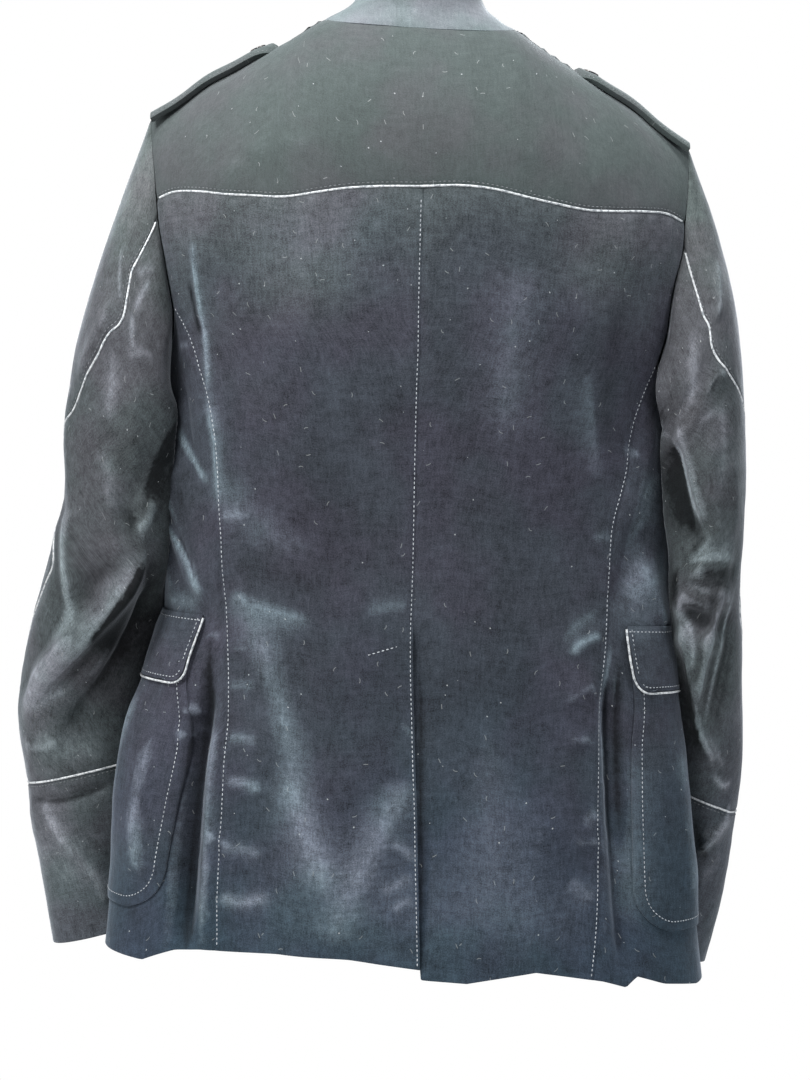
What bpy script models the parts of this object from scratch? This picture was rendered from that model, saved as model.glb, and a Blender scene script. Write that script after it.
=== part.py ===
"""A slim velvet military jacket, hollow as when worn, held up at the neck.

+X is the wearer's right, +Y the front and +Z up. The origin is the middle of the neck
opening. Sizes are in millimetres and become metres when a piece is placed. A height is a
drop below the neck. A place round the body is a turn: 0 is the centre back, 1 the side and
2 the centre front, and it is minus on the wearer's left. A place round a sleeve is an angle:
0 is its outer side, 90 the back, 180 the side next to the body and 270 the front.
"""

import math

import bmesh
import bpy
import numpy as np
from mathutils import Vector

MM = 0.001
CLOTH = 1.6
COLLAR_CLOTH = 2.4
SEAM_GAP = 0.3
UNDERARM_GAP = 1.0
LAYER_GAP = 0.5
LAP_GAP = 1.0
TILT = 0.055  # the wearer's right shoulder hangs lower by this much for each millimetre across
CORNER = 2.3  # how square a cross-section is: 2 is an ellipse

NECK_HALF = 76.0
NECK_SIDE_DROP = 5.0
NECK_DIP = {"back": 10.0, "front": 62.0}
RIDGE_Y = -8.0
SHOULDER_ROLL = {"back": 135.0, "front": 190.0}
CHEST_EASE = 0.3  # how much flatter than a round shoulder the front is below the neck
SHOULDER_TIP = 216.0

COLLAR_TOP_HALF = 52.0
COLLAR_TOP_REACH = 64.0
COLLAR_TOP_BACK = -28.0
COLLAR_TOP_FRONT = 26.0
COLLAR_BOW = 5.0
COLLAR_OPENING = 2.0

UNDERLAP = 35.0
UNDERLAP_SHORTER = 5.0
COVERED = 2.0
UNDERLAP_RAMP = 13.0
FRONT_OVERLAP = 16.0
FRONT_COVERED = 27.0
FRONT_UNDERLAP_RAMP = 22.0
UNDERARM_DROP = 292.0

PIPING_RADIUS = 1.1
PIPING_LIFT = PIPING_RADIUS + 0.45
BUTTON_RADIUS = 10.0
BUTTON_DEPTH = 4.0
BUTTON_LIFT = 0.8
SMALL_BUTTON_RADIUS = 7.0
BUTTON_DROPS = (136.0, 218.0, 300.0, 382.0, 464.0)
EPAULETTE_HALF_WIDTH = 22.0
EPAULETTE_LENGTH = {"left": 100.0, "right": 90.0}
EPAULETTE_BEND = 0.0042  # how fast the strap falls away on both sides of the shoulder seam

VELVET = (0.030, 0.042, 0.056)
YOKE_VELVET = (0.040, 0.050, 0.055)
SATIN = (0.62, 0.64, 0.66)
HORN = (0.02, 0.022, 0.028)


def table(names, *rows):
    """A table of sizes, as one array for each named column."""
    return dict(zip(names.split(), np.array(rows, float).T))


# Half the body's width on each side of the centre back, and its depth behind and before.
BODY = table(
    "drop left right back front",
    (0, 232, 232, 116, 112),
    (90, 232, 232, 118, 114),
    (150, 226, 226, 118, 116),
    (200, 217, 217, 117, 116),
    (250, 206, 206, 114, 114),
    (290, 201, 201, 110, 111),
    (340, 204, 202, 103, 106),
    (390, 208, 203, 97, 100),
    (440, 206, 203, 93, 95),
    (490, 208, 206, 92, 93),
    (545, 223, 209, 96, 94),
    (605, 237, 214, 103, 97),
    (680, 248, 222, 109, 101),
    (765, 258, 231, 114, 104),
)

# The top of the shoulders, from the middle of the neck opening out to the tip. The shoulder
# seam lies on it.
SHOULDER = table(
    "across drop",
    (0, -9.5),
    (30, -7),
    (55, -2),
    (76, 5),
    (101, 21),
    (123, 34),
    (146, 48),
    (168, 60),
    (190, 76),
    (216, 92),
)

# The armhole's edge on the back and on the front, down to where the side pieces begin.
ARMHOLE = table(
    "drop back_left back_right front",
    (92, 216, 216, 216),
    (115, 213, 214, 206),
    (157, 209, 210, 194),
    (178, 207, 208, 190),
    (201, 203, 202, 189),
    (225, 199, 198, 191),
    (243, 196, 195, 193),
    (268, 190, 187, 196),
)

# The strap on each shoulder, from the sleeve head to its round end: the share of its length,
# the share of its half width and its height over the cloth.
EPAULETTE = table(
    "along width rise",
    (0.03, 1.12, 1.2),
    (0.20, 1.06, 1.8),
    (0.38, 1.0, 2.6),
    (0.56, 1.0, 3.2),
    (0.73, 1.0, 3.7),
    (0.86, 0.94, 4.0),
    (0.95, 0.72, 4.2),
    (1.0, 0.36, 4.3),
)

YOKE_SEAM = table(
    "across left right",
    (0, 141, 141),
    (35, 143, 138.5),
    (58, 145.5, 140),
    (80, 149.5, 144),
    (105, 154, 148),
    (131, 154, 151),
    (152, 153.5, 150),
    (177, 151.5, 148),
    (196, 152.5, 148),
    (209, 157.5, 152.5),
)

# The seams that run down the back: how far each lies from the middle.
BACK_SEAMS = table(
    "drop centre left right",
    (140, 2.6, 209, 209),
    (243, 0.3, 196, 195),
    (268, 0, 180.5, 187),
    (292, -1, 173, 178),
    (314, -1.5, 167.5, 171),
    (360, -2.5, 162, 162),
    (392, -3, 160, 154),
    (440, -4, 157, 151),
    (490, -5.7, 154.5, 148.5),
    (566, -4.2, 153.5, 144),
    (629, -2.6, 156.5, 142),
    (708, -1, 161, 140.5),
    (760, -0.3, 163, 136),
)

POCKET_EDGE = table(
    "drop left right",
    (243, 199.5, 199),
    (268, 195, 195),
    (300, 189, 187),
    (400, 177, 172),
    (480, 171, 164),
    (540, 185, 170),
    (570, 182, 168),
    (640, 193, 168),
    (680, 200, 169),
    (760, 208, 174),
)
SIDE_FRONT_TURN = 1.25
POCKET_FRONT_TURN = 1.44

# The rows of the body below the yoke seam, and where each falls at the two sides.
LEVELS = table(
    "left right",
    (150, 150),
    (173, 173),
    (196, 196),
    (219, 219),
    (243, 243),
    (268, 268),
    (297, 297),
    (327, 325),
    (357, 353),
    (387, 381),
    (418, 410),
    (450, 441),
    (485, 475),
    (501, 491),
    (540, 527),
    (572, 562),
    (606, 598),
    (640, 634),
    (672, 668),
    (700, 695),
    (723, 718),
    (755, 755),
)
LAST = len(LEVELS["left"]) - 1
CHEST_ROW = 4
CORNER_ROW = {"left": 4, "right": 5}
FLAP_TOP = 12
POCKET_TOP = 13
FLAP_BOTTOM = 14
POCKET_BOTTOM = 20
VENT_ROW = 13

HEM = table(
    "turn drop",
    (-2, 757),
    (-1.5, 760),
    (-1, 760),
    (-0.62, 762),
    (-0.52, 750),
    (-0.45, 747),
    (-0.28, 744),
    (-0.14, 745),
    (-0.001, 749),
    (0.001, 757),
    (0.1, 758),
    (0.25, 747),
    (0.41, 754),
    (0.475, 759),
    (0.51, 751),
    (0.6, 758),
    (0.8, 763),
    (1, 761),
    (1.5, 760),
    (2, 757),
)

# Folds of the body's cloth. Each runs straight from its top to its bottom; a rise above 0 is
# a ridge and one below 0 a trough.
BODY_FOLDS = table(
    "top_turn top_drop bottom_turn bottom_drop width rise",
    (-0.515, 510, -0.495, 775, 0.034, -9),
    (0.488, 490, 0.476, 775, 0.034, -9),
    (-0.84, 385, -0.575, 478, 0.045, 5),
    (-0.70, 375, -0.60, 470, 0.05, -4),
    (0.62, 380, 0.52, 470, 0.05, -3),
    (-0.30, 610, -0.22, 775, 0.045, 4),
    (-0.03, 640, -0.16, 775, 0.05, -4),
    (0.30, 600, 0.24, 775, 0.06, 3),
)

SLEEVE_COLUMNS = "along outer outer_drop inner inner_drop middle depth"
SLEEVE = {
    "left": table(
        SLEEVE_COLUMNS,
        (0, 216, 92, 201, 292, 0, 54),
        (60, 243, 165, 201, 302, -2, 62),
        (120, 266, 235, 198, 318, -3, 66),
        (175, 280, 291, 203, 345, -3, 67),
        (225, 286, 345, 207, 380, -2, 66),
        (280, 288, 400, 211, 420, 3, 64),
        (320, 298, 436, 215, 455, 10, 62),
        (360, 309, 472, 219, 490, 20, 60),
        (400, 321, 514, 223, 525, 32, 58),
        (455, 334, 578, 226, 572, 50, 55),
        (505, 328, 642, 225, 612, 64, 52),
        (545, 327, 672, 224, 650, 72, 50),
        (595, 321, 713, 221, 700, 82, 47),
        (650, 311, 781, 218, 752, 91, 44),
    ),
    "right": table(
        SLEEVE_COLUMNS,
        (0, 216, 92, 201, 292, 0, 54),
        (60, 240, 160, 201, 302, -2, 62),
        (120, 255, 222, 196, 318, -3, 67),
        (175, 261, 285, 198, 345, -3, 69),
        (225, 263, 345, 202, 380, -2, 69),
        (280, 262, 395, 208, 418, 3, 68),
        (320, 260.5, 438, 206, 452, 12, 66),
        (360, 264, 478, 204, 490, 24, 64),
        (400, 266, 525, 202, 528, 37, 62),
        (455, 269, 585, 200, 572, 54, 59),
        (505, 266, 634, 197, 610, 70, 56),
        (545, 263, 665, 193, 648, 80, 53),
        (595, 257, 712, 185, 700, 91, 50),
        (650, 244, 768, 174, 748, 101, 47),
    ),
}
SLEEVE_ROWS = (0, 15, 40, 70, 105, 140, 180, 220, 260, 295, 325, 355, 385, 415, 445, 475, 505)
CUFF_ROWS = (505, 540, 580, 615, 650)
HEAD_BLEND = 115.0
HEAD_GAP = 0.7
HEAD_LIFT = 1.0
HEAD_CLEARANCE = 1.6
BODY_CLEARANCE = 5.0

# The piped back seam of each sleeve: its angle along the way down.
BACK_SEAM = {
    "left": table(
        "along angle",
        (60, 88),
        (120, 76),
        (175, 57),
        (205, 42),
        (225, 22),
        (245, 8),
        (285, 8),
        (320, 36),
        (338, 44),
        (355, 27),
        (378, 12),
        (400, 2),
        (440, -8),
        (650, -14),
    ),
    "right": table(
        "along angle",
        (60, 84),
        (120, 72),
        (150, 56),
        (175, 36),
        (200, 12),
        (225, 4),
        (300, 6),
        (335, 28),
        (352, 30),
        (375, 8),
        (400, -4),
        (650, -14),
    ),
}
FRONT_SEAM_ANGLE = 240.0

# Folds of the sleeves, as for the body. A step has a ridge above its line and a trough below.
SLEEVE_FOLD_COLUMNS = "top_angle top_along bottom_angle bottom_along width rise step"
SLEEVE_FOLDS = {
    "left": table(
        SLEEVE_FOLD_COLUMNS,
        (135, 312, 10, 466, 16, 9, 1),
        (15, 285, 60, 400, 14, 4, 0),
        (150, 190, 110, 300, 16, -4, 0),
        (40, 560, 150, 610, 14, -3, 0),
    ),
    "right": table(
        SLEEVE_FOLD_COLUMNS,
        (150, 290, 40, 322, 15, 7, 1),
        (160, 345, 60, 362, 14, 6, 1),
        (150, 150, 115, 285, 14, -4, 0),
        (130, 390, 60, 560, 16, 4, 0),
    ),
}


def smooth_step(value):
    value = np.clip(value, 0.0, 1.0)
    return value * value * (3.0 - 2.0 * value)


def along_curve(at, keys, values):
    """Values read from a smooth curve through a table's rows."""
    at = np.clip(at, keys[0], keys[-1])
    slopes = np.gradient(values, keys)
    row = np.clip(np.searchsorted(keys, at) - 1, 0, len(keys) - 2)
    step = keys[row + 1] - keys[row]
    t = (at - keys[row]) / step
    start = (2 * t**3 - 3 * t**2 + 1) * values[row] + (t**3 - 2 * t**2 + t) * step * slopes[row]
    end = (3 * t**2 - 2 * t**3) * values[row + 1] + (t**3 - t**2) * step * slopes[row + 1]
    return start + end


def superellipse(angle):
    """The sine and cosine of an angle, moved out to a rounded square of half width 1."""
    sine = np.sin(angle)
    cosine = np.cos(angle)
    reach = (np.abs(sine) ** CORNER + np.abs(cosine) ** CORNER) ** (-1.0 / CORNER)
    return sine * reach, cosine * reach


def half_width(turn, drop):
    left = along_curve(drop, BODY["drop"], BODY["left"])
    right = along_curve(drop, BODY["drop"], BODY["right"])
    return np.where(turn < 0, left, right)


def turn_at(across, drop, side, front=False):
    """The turn at which the body is a given distance from the middle, on one side."""
    sign = -1.0 if side == "left" else 1.0
    share = np.minimum(np.abs(across) / half_width(sign, drop), 1.0)
    turn = np.arctan2(share, (1.0 - share**CORNER) ** (1.0 / CORNER)) / (math.pi / 2)
    turn = 2.0 - turn if front else turn
    return sign * turn * np.where(np.asarray(across) < 0, -1.0, 1.0)


def neck_arc(across):
    return np.sqrt(np.clip(1.0 - (across / NECK_HALF) ** 2, 0.0, 1.0))


def shoulder_drop(across):
    return along_curve(np.abs(across), SHOULDER["across"], SHOULDER["drop"])


def top_drop(across, front):
    """The height of the neck seam and of the shoulder seam beside it."""
    dip = np.where(front, NECK_DIP["front"], NECK_DIP["back"])
    neck = NECK_SIDE_DROP + dip * neck_arc(across)
    return np.where(np.abs(across) < NECK_HALF, neck, shoulder_drop(across))


def smooth_body(turn, drop):
    """The body without its folds: points in millimetres, before the hang's tilt."""
    sine, cosine = superellipse(turn * math.pi / 2)
    across = half_width(turn, drop) * sine
    back = along_curve(drop, BODY["drop"], BODY["back"])
    front = along_curve(drop, BODY["drop"], BODY["front"])
    depth = -np.where(cosine > 0, back, front) * cosine
    in_front = np.abs(turn) > 1
    roll = np.where(in_front, SHOULDER_ROLL["front"], SHOULDER_ROLL["back"])
    below = np.clip((drop - shoulder_drop(across)) / roll, 0.0, 1.0)
    over_neck = 1.0 - smooth_step(np.abs(across) / SHOULDER_TIP)
    power = 0.5 + np.where(in_front, CHEST_EASE, 0.0) * over_neck
    rolled = (1.0 - (1.0 - below) ** 2) ** power
    depth = RIDGE_Y + (depth - RIDGE_Y) * rolled
    return np.stack([across, depth, -drop], axis=-1)


def unit(vectors):
    return vectors / np.maximum(np.linalg.norm(vectors, axis=-1, keepdims=True), 1e-9)


def normals_of(shape, turn, drop):
    around = shape(turn + 0.002, drop) - shape(turn - 0.002, drop)
    down = shape(turn, drop + 0.5) - shape(turn, drop - 0.5)
    return unit(np.cross(down, around))


def body_fold(turn, drop):
    """How far the folds lift the cloth at each point."""
    lift = np.zeros(np.broadcast(turn, drop).shape)
    columns = [BODY_FOLDS[name] for name in BODY_FOLDS]
    for top_turn, top, bottom_turn, bottom, width, rise in zip(*columns):
        down = (drop - top) / (bottom - top)
        line = top_turn + (bottom_turn - top_turn) * down
        ends = smooth_step(down / 0.22) * smooth_step((1.0 - down) / 0.22)
        lift = lift + rise * ends * np.exp(-(((turn - line) / width) ** 2))
    return lift


def body(turn, drop):
    turn, drop = np.broadcast_arrays(np.asarray(turn, float), np.asarray(drop, float))
    normal = normals_of(smooth_body, turn, drop)
    return smooth_body(turn, drop) + normal * body_fold(turn, drop)[..., None]


def body_normals(turn, drop):
    """The body's normals. On the shoulder seam they are those of the back and the front together."""
    turn, drop = np.broadcast_arrays(np.asarray(turn, float), np.asarray(drop, float))
    normal = normals_of(body, turn, drop)
    across = smooth_body(turn, drop)[..., 0]
    on_seam = (drop - top_drop(across, False) < 0.01) & (np.abs(across) > NECK_HALF - 0.01)
    other = normals_of(body, np.sign(turn) * (2.0 - np.abs(turn)), drop)
    return np.where(on_seam[..., None], unit(normal + other), normal)


def hang(points):
    """The tilt of the whole garment, and the change to metres."""
    points = np.array(points, float)
    points[..., 2] -= TILT * points[..., 0]
    return points * MM


def sheet(turn, drop):
    """A grid of points and normals on the body."""
    return body(turn, drop), body_normals(turn, drop)


def pulled_in(points, edges, amount=SEAM_GAP / 2):
    """A grid whose named edges are drawn back along the cloth, to leave half a seam's gap."""
    points = points.copy()
    if "top" in edges:
        points[0] += unit(points[1] - points[0]) * amount
    if "bottom" in edges:
        points[-1] += unit(points[-2] - points[-1]) * amount
    if "start" in edges:
        points[:, 0] += unit(points[:, 1] - points[:, 0]) * amount
    if "end" in edges:
        points[:, -1] += unit(points[:, -2] - points[:, -1]) * amount
    return points


def material(name, colour, roughness, metallic=0.0):
    made = bpy.data.materials.new(name)
    made.use_nodes = True
    shader = made.node_tree.nodes["Principled BSDF"]
    shader.inputs["Base Color"].default_value = (*colour, 1.0)
    shader.inputs["Roughness"].default_value = roughness
    shader.inputs["Metallic"].default_value = metallic
    return made


def add_object(name, data, finish):
    made = bpy.data.objects.new(name, data)
    made.data.materials.append(finish)
    jacket.objects.link(made)
    return made


def add_wall(name, outer, normals, finish, thickness=CLOTH, inward=None, closed=False):
    """A cloth wall: a grid of outer points, and the same grid moved in by the thickness."""
    rows, columns = outer.shape[:2]
    inner = outer - (normals if inward is None else -inward) * thickness
    outside = hang(outer).reshape(-1, 3)
    inside = hang(inner).reshape(-1, 3)
    mesh = bmesh.new()
    bmesh.ops.create_grid(mesh, x_segments=columns - 1, y_segments=rows - 1, size=0.5)
    place = mesh.verts.layers.int.new("place")
    for vertex in mesh.verts:
        column = round((vertex.co.x + 0.5) * (columns - 1))
        row = round((0.5 - vertex.co.y) * (rows - 1))
        vertex[place] = row * columns + column
    bmesh.ops.triangulate(mesh, faces=mesh.faces[:], quad_method="FIXED")
    for vertex in mesh.verts:
        vertex.co = outside[vertex[place]]
    if closed:
        bmesh.ops.remove_doubles(mesh, verts=mesh.verts[:], dist=1e-6)
    grown = bmesh.ops.extrude_face_region(mesh, geom=mesh.faces[:], use_keep_orig=True)
    for vertex in grown["geom"]:
        if isinstance(vertex, bmesh.types.BMVert):
            vertex.co = inside[vertex[place]]
    rims = [face for face in mesh.faces if len(face.verts) == 4]
    bmesh.ops.triangulate(mesh, faces=rims, quad_method="SHORT_EDGE")
    bmesh.ops.recalc_face_normals(mesh, faces=mesh.faces[:])
    data = bpy.data.meshes.new(name)
    mesh.to_mesh(data)
    mesh.free()
    return add_object(name, data, finish)


def add_piping(name, points, finish, closed=False):
    """A round cord of piping through the points of a seam."""
    data = bpy.data.curves.new(name, "CURVE")
    data.dimensions = "3D"
    data.bevel_depth = PIPING_RADIUS * MM
    data.bevel_resolution = 1
    data.use_fill_caps = not closed
    spline = data.splines.new("POLY")
    spline.points.add(len(points) - 1)
    for point, co in zip(spline.points, hang(points)):
        point.co = (*co, 1.0)
    spline.use_cyclic_u = closed
    return add_object(name, data, finish)


def add_button(name, centre, normal, radius, finish):
    """A flat round button with a soft rim, lying on the cloth."""
    mesh = bmesh.new()
    bmesh.ops.create_cone(
        mesh,
        cap_ends=True,
        segments=16,
        radius1=radius * MM,
        radius2=radius * 0.86 * MM,
        depth=BUTTON_DEPTH * MM,
    )
    data = bpy.data.meshes.new(name)
    mesh.to_mesh(data)
    mesh.free()
    made = add_object(name, data, finish)
    tilted = hang(np.array([centre, centre + normal]))
    axis = unit(tilted[1] - tilted[0])
    made.location = tilted[0] + axis * (BUTTON_DEPTH / 2 + BUTTON_LIFT) * MM
    made.rotation_mode = "QUATERNION"
    made.rotation_quaternion = Vector(axis).to_track_quat("Z", "Y")
    return made


def spread(start, end, cells):
    """Evenly spaced columns from one seam to the next, on every row."""
    share = np.linspace(0.0, 1.0, cells + 1)
    return start[:, None] * (1.0 - share) + end[:, None] * share


def level(row, turn):
    """The drop of a body row at a turn: the two sides differ a little."""
    left = LEVELS["left"][row]
    right = LEVELS["right"][row]
    lean = np.clip(turn / 0.5, -1.0, 1.0)
    return (left + right) / 2 + (right - left) / 2 * lean


def hem_drop(turn):
    return np.interp(turn, HEM["turn"], HEM["drop"])


def yoke_drop(across, side):
    return along_curve(np.abs(across), YOKE_SEAM["across"], YOKE_SEAM[side])


def seam_turn(drop, column, side):
    """The turn of one of the seams that run down the back."""
    across = along_curve(drop, BACK_SEAMS["drop"], BACK_SEAMS[column])
    if column == "centre":
        return np.sign(across) * turn_at(np.abs(across), drop, "right")
    return turn_at(across, drop, side)


def armhole_turn(drop, side, front):
    column = "front" if front else "back_" + side
    across = along_curve(drop, ARMHOLE["drop"], ARMHOLE[column])
    return turn_at(across, drop, side, front)


BACK_CELLS = 10
NECK_CELLS = 5
YOKE_ROWS = 6
FOLD_CELLS = 4
SIDE_CELLS = 5
POCKET_FRONT_CELLS = 2
FRONT_CELLS = 7
FRONT_ROWS = 6


def lap_under(turn, centre, outer, drop):
    """Runs the right half of the back on under the left half, from the vent's top down."""
    for row in range(VENT_ROW - 1, LAST + 1):
        width = turn_at(UNDERLAP, drop[row], "right")
        reach = 0.0 if row < VENT_ROW else width
        covered = centre[row] + width * COVERED / UNDERLAP
        turn[row, :3] = np.linspace(centre[row] - reach, covered, 3)
        turn[row, 2:] = np.linspace(covered, outer[row], BACK_CELLS - 1)


def back_grid(side):
    """Turns and drops of one half of the back, from the centre seam out, row by row."""
    sign = -1.0 if side == "left" else 1.0
    corner = CORNER_ROW[side]
    middle = np.array([level(row, 0.0) for row in range(LAST + 1)])
    middle[0] = YOKE_SEAM[side][0]
    centre = seam_turn(middle, "centre", side)
    outer_drop = np.array([level(row, sign) for row in range(LAST + 1)])
    outer_drop[0] = YOKE_SEAM[side][-1]
    outer = np.where(
        np.arange(LAST + 1) <= corner,
        armhole_turn(outer_drop, side, False),
        seam_turn(outer_drop, side, side),
    )
    turn = spread(centre, outer, BACK_CELLS)
    if side == "right":
        lap_under(turn, centre, outer, middle)
    drop = level(np.arange(LAST + 1)[:, None], turn)
    for _ in range(4):
        across = smooth_body(turn[0], drop[0])[:, 0]
        drop[0] = yoke_drop(across, side)
    drop[LAST] = hem_drop(turn[LAST])
    if side == "right":
        drop[LAST] -= np.where(turn[LAST] < 0, UNDERLAP_SHORTER, 0.0)
    return turn, drop


def yoke_grid():
    """The yoke's turns and drops, from the left armhole to the right, neck to yoke seam."""
    halves = []
    for side in ("left", "right"):
        turn, drop = back_grid(side)
        angle = np.linspace(0.0, math.pi / 2, NECK_CELLS + 1)
        shoulder = np.linspace(NECK_HALF, SHOULDER_TIP, BACK_CELLS - NECK_CELLS + 1)[1:]
        across = np.concatenate([NECK_HALF * np.sin(angle), shoulder])
        top = top_drop(across, False)
        top_turn = turn_at(across, top, side)
        share = np.linspace(0.0, 1.0, YOKE_ROWS + 1)[:, None]
        side_turn = top_turn + (turn[0] - top_turn) * share
        side_drop = top + (drop[0] - top) * share**1.7
        edge = armhole_turn(side_drop[:, -1], side, False)
        side_turn[:, -1] = np.where(share[:, 0] < 1, edge, side_turn[:, -1])
        halves.append((side_turn, side_drop))
    (left_turn, left_drop), (right_turn, right_drop) = halves
    middle = (left_turn[:, :1] + right_turn[:, :1]) / 2
    turn = np.concatenate([left_turn[:, :0:-1], middle, right_turn[:, 1:]], axis=1)
    drop = np.concatenate([left_drop[:, :0:-1], right_drop], axis=1)
    return turn, drop


def front_grid(side):
    """One front, from the armhole to past the centre, shoulder to hem."""
    sign = -1.0 if side == "left" else 1.0
    rows = np.arange(CHEST_ROW, LAST + 1)
    low = level(rows[:, None], np.full((1, 1), sign))
    armhole = np.abs(armhole_turn(low[:, 0], side, True))
    edge = np.where(rows <= CORNER_ROW[side], armhole, SIDE_FRONT_TURN)
    pocket = np.full(len(rows), POCKET_FRONT_TURN)
    past = 2.0 + FRONT_OVERLAP / (half_width(sign, low[:, 0]) * math.pi / 2)
    turn = np.concatenate(
        [
            spread(edge, pocket, POCKET_FRONT_CELLS)[:, :-1],
            spread(pocket, np.full(len(rows), 2.0), FRONT_CELLS),
            past[:, None],
        ],
        axis=1,
    )
    drop = np.repeat(low, turn.shape[1], axis=1)
    drop[-1] = hem_drop(sign * np.minimum(turn[-1], 2.0))
    angle = np.linspace(math.pi / 2, 0.0, NECK_CELLS + 1)
    shoulder = np.linspace(SHOULDER_TIP, NECK_HALF, turn.shape[1] - NECK_CELLS - 1)[:-1]
    across = np.concatenate([shoulder, NECK_HALF * np.sin(angle), [-FRONT_OVERLAP]])
    top = top_drop(across, True)
    top_turn = np.abs(turn_at(np.abs(across), top, side, True))
    top_turn[-1] = 4.0 - top_turn[-1]
    share = np.linspace(0.0, 1.0, FRONT_ROWS + 1)[:-1, None]
    high_turn = top_turn + (turn[0] - top_turn) * share
    high_drop = top + (drop[0] - top) * share**1.7
    high_turn[:, 0] = np.abs(armhole_turn(high_drop[:, 0], side, True))
    turn = np.concatenate([high_turn, turn])
    drop = np.concatenate([high_drop, drop])
    return sign * turn, drop


def side_grid(side):
    """The side piece under the arm, from the back seam round to the front seam."""
    sign = -1.0 if side == "left" else 1.0
    corner = CORNER_ROW[side]
    rows = np.arange(corner, LAST + 1)
    back_turn, back_drop = back_grid(side)
    front_turn, front_drop = front_grid(side)
    back = np.abs(back_turn[corner:, -1])
    front = np.abs(front_turn[FRONT_ROWS + corner - CHEST_ROW :, 0])
    pocket_across = along_curve(back_drop[corner:, -1], POCKET_EDGE["drop"], POCKET_EDGE[side])
    pocket = np.abs(turn_at(pocket_across, back_drop[corner:, -1], side))
    turn = np.concatenate(
        [spread(back, pocket, FOLD_CELLS)[:, :-1], spread(pocket, front, SIDE_CELLS)], axis=1
    )
    start = back_drop[corner, -1]
    share = (turn[0] - turn[0, 0]) / (turn[0, -1] - turn[0, 0])
    dip = (UNDERARM_DROP - start) * np.sin(math.pi * np.clip(share, 0.0, 1.0)) ** 0.75
    drop = np.repeat(level(rows[:, None], np.full((1, 1), sign)), turn.shape[1], axis=1)
    flap = FLAP_TOP - corner
    ease = (drop[:flap] - drop[0]) / (drop[flap] - drop[0])
    drop[:flap] += dip * (1.0 - ease)
    drop[-1] = hem_drop(sign * turn[-1])
    return sign * turn, drop


def layer_under(turns_clear, drop, covered, ramp):
    """How far a lapped edge lies below the piece that covers it."""
    clear = turns_clear * half_width(1.0, drop) * math.pi / 2 - covered
    return -(CLOTH + LAP_GAP) * (1.0 - smooth_step(clear / ramp))


def build_body():
    """Yoke, back, sides and fronts. The uncut grids are kept for what is sewn to them."""
    made = {}
    turn, drop = yoke_grid()
    points, normals = sheet(turn, drop)
    made["yoke"] = (points, normals)
    shown = pulled_in(points, ("top", "bottom", "start", "end"))
    add_wall("yoke", shown, normals, yoke_velvet)
    for side in ("left", "right"):
        turn, drop = back_grid(side)
        points, normals = sheet(turn, drop)
        made["back_" + side] = (points, normals)
        if side == "right":
            centre = seam_turn(drop, "centre", side)
            under = layer_under(turn - centre, drop, COVERED, UNDERLAP_RAMP)
            under[: VENT_ROW - 1] = 0.0
            points = points + normals * under[..., None]
        points = pulled_in(points, ("top", "start", "end"))
        if side == "left":
            points = points[:, ::-1]
            normals = normals[:, ::-1]
        add_wall("back_" + side, points, normals, velvet)

        turn, drop = side_grid(side)
        points, normals = sheet(turn, drop)
        made["side_" + side] = (points, normals)
        points = pulled_in(points, ("start", "end"))
        points = pulled_in(points, ("top",), UNDERARM_GAP)
        if side == "left":
            points = points[:, ::-1]
            normals = normals[:, ::-1]
        add_wall("side_" + side, points, normals, velvet)

        turn, drop = front_grid(side)
        points, normals = sheet(turn, drop)
        made["front_" + side] = (points, normals)
        if side == "right":
            under = layer_under(2.0 - turn, drop, FRONT_COVERED, FRONT_UNDERLAP_RAMP)
            points = points + normals * under[..., None]
        points = pulled_in(points, ("top", "start"))
        if side == "left":
            points = points[:, ::-1]
            normals = normals[:, ::-1]
        add_wall("front_" + side, points, normals, velvet)
    return made


def seam_frame(loop, normals, outward_sign, closed=True):
    """The direction off the cloth's edge, in the cloth, at each point of an edge."""
    if closed:
        tangent = np.roll(loop, -1, axis=0) - np.roll(loop, 1, axis=0)
    else:
        tangent = np.gradient(loop, axis=0)
    return unit(np.cross(normals, tangent)) * outward_sign


def armhole_loop(side, made):
    """The armhole's edge points, from the shoulder tip down the back and up the front."""
    corner = CORNER_ROW[side]
    front_corner = FRONT_ROWS + corner - CHEST_ROW
    edge = 0 if side == "left" else -1
    parts = [
        [grid[:, edge] for grid in made["yoke"]],
        [grid[1 : corner + 1, -1] for grid in made["back_" + side]],
        [grid[0, 1:-1] for grid in made["side_" + side]],
        [grid[front_corner:0:-1, 0] for grid in made["front_" + side]],
    ]
    loop = np.concatenate([part[0] for part in parts])
    normals = np.concatenate([part[1] for part in parts])
    return loop, normals


def grid_normals(points, closed):
    """Normals of a grid that runs round a tube, row by row."""
    if closed:
        around = np.roll(points, -1, axis=1) - np.roll(points, 1, axis=1)
    else:
        around = np.gradient(points, axis=1)
    down = np.gradient(points, axis=0)
    return unit(np.cross(down, around))


def sleeve_fold(angle, along, side):
    lift = np.zeros(np.broadcast(angle, along).shape)
    folds = SLEEVE_FOLDS[side]
    for top_angle, top, low_angle, low, width, rise, step in zip(*[folds[n] for n in folds]):
        across = np.radians(low_angle - top_angle) * 52.0
        down = low - top
        length = math.hypot(across, down)
        x = np.radians((angle - top_angle + 180.0) % 360.0 - 180.0) * 52.0
        y = along - top
        share = (x * across + y * down) / length**2
        off = (x * down - y * across) / length * np.sign(across)
        ends = smooth_step(share / 0.2) * smooth_step((1.0 - share) / 0.2)
        ridge = np.exp(-((off / width) ** 2))
        stepped = -off / width * ridge * 1.6
        lift = lift + rise * ends * (stepped if step else ridge)
    return lift


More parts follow.
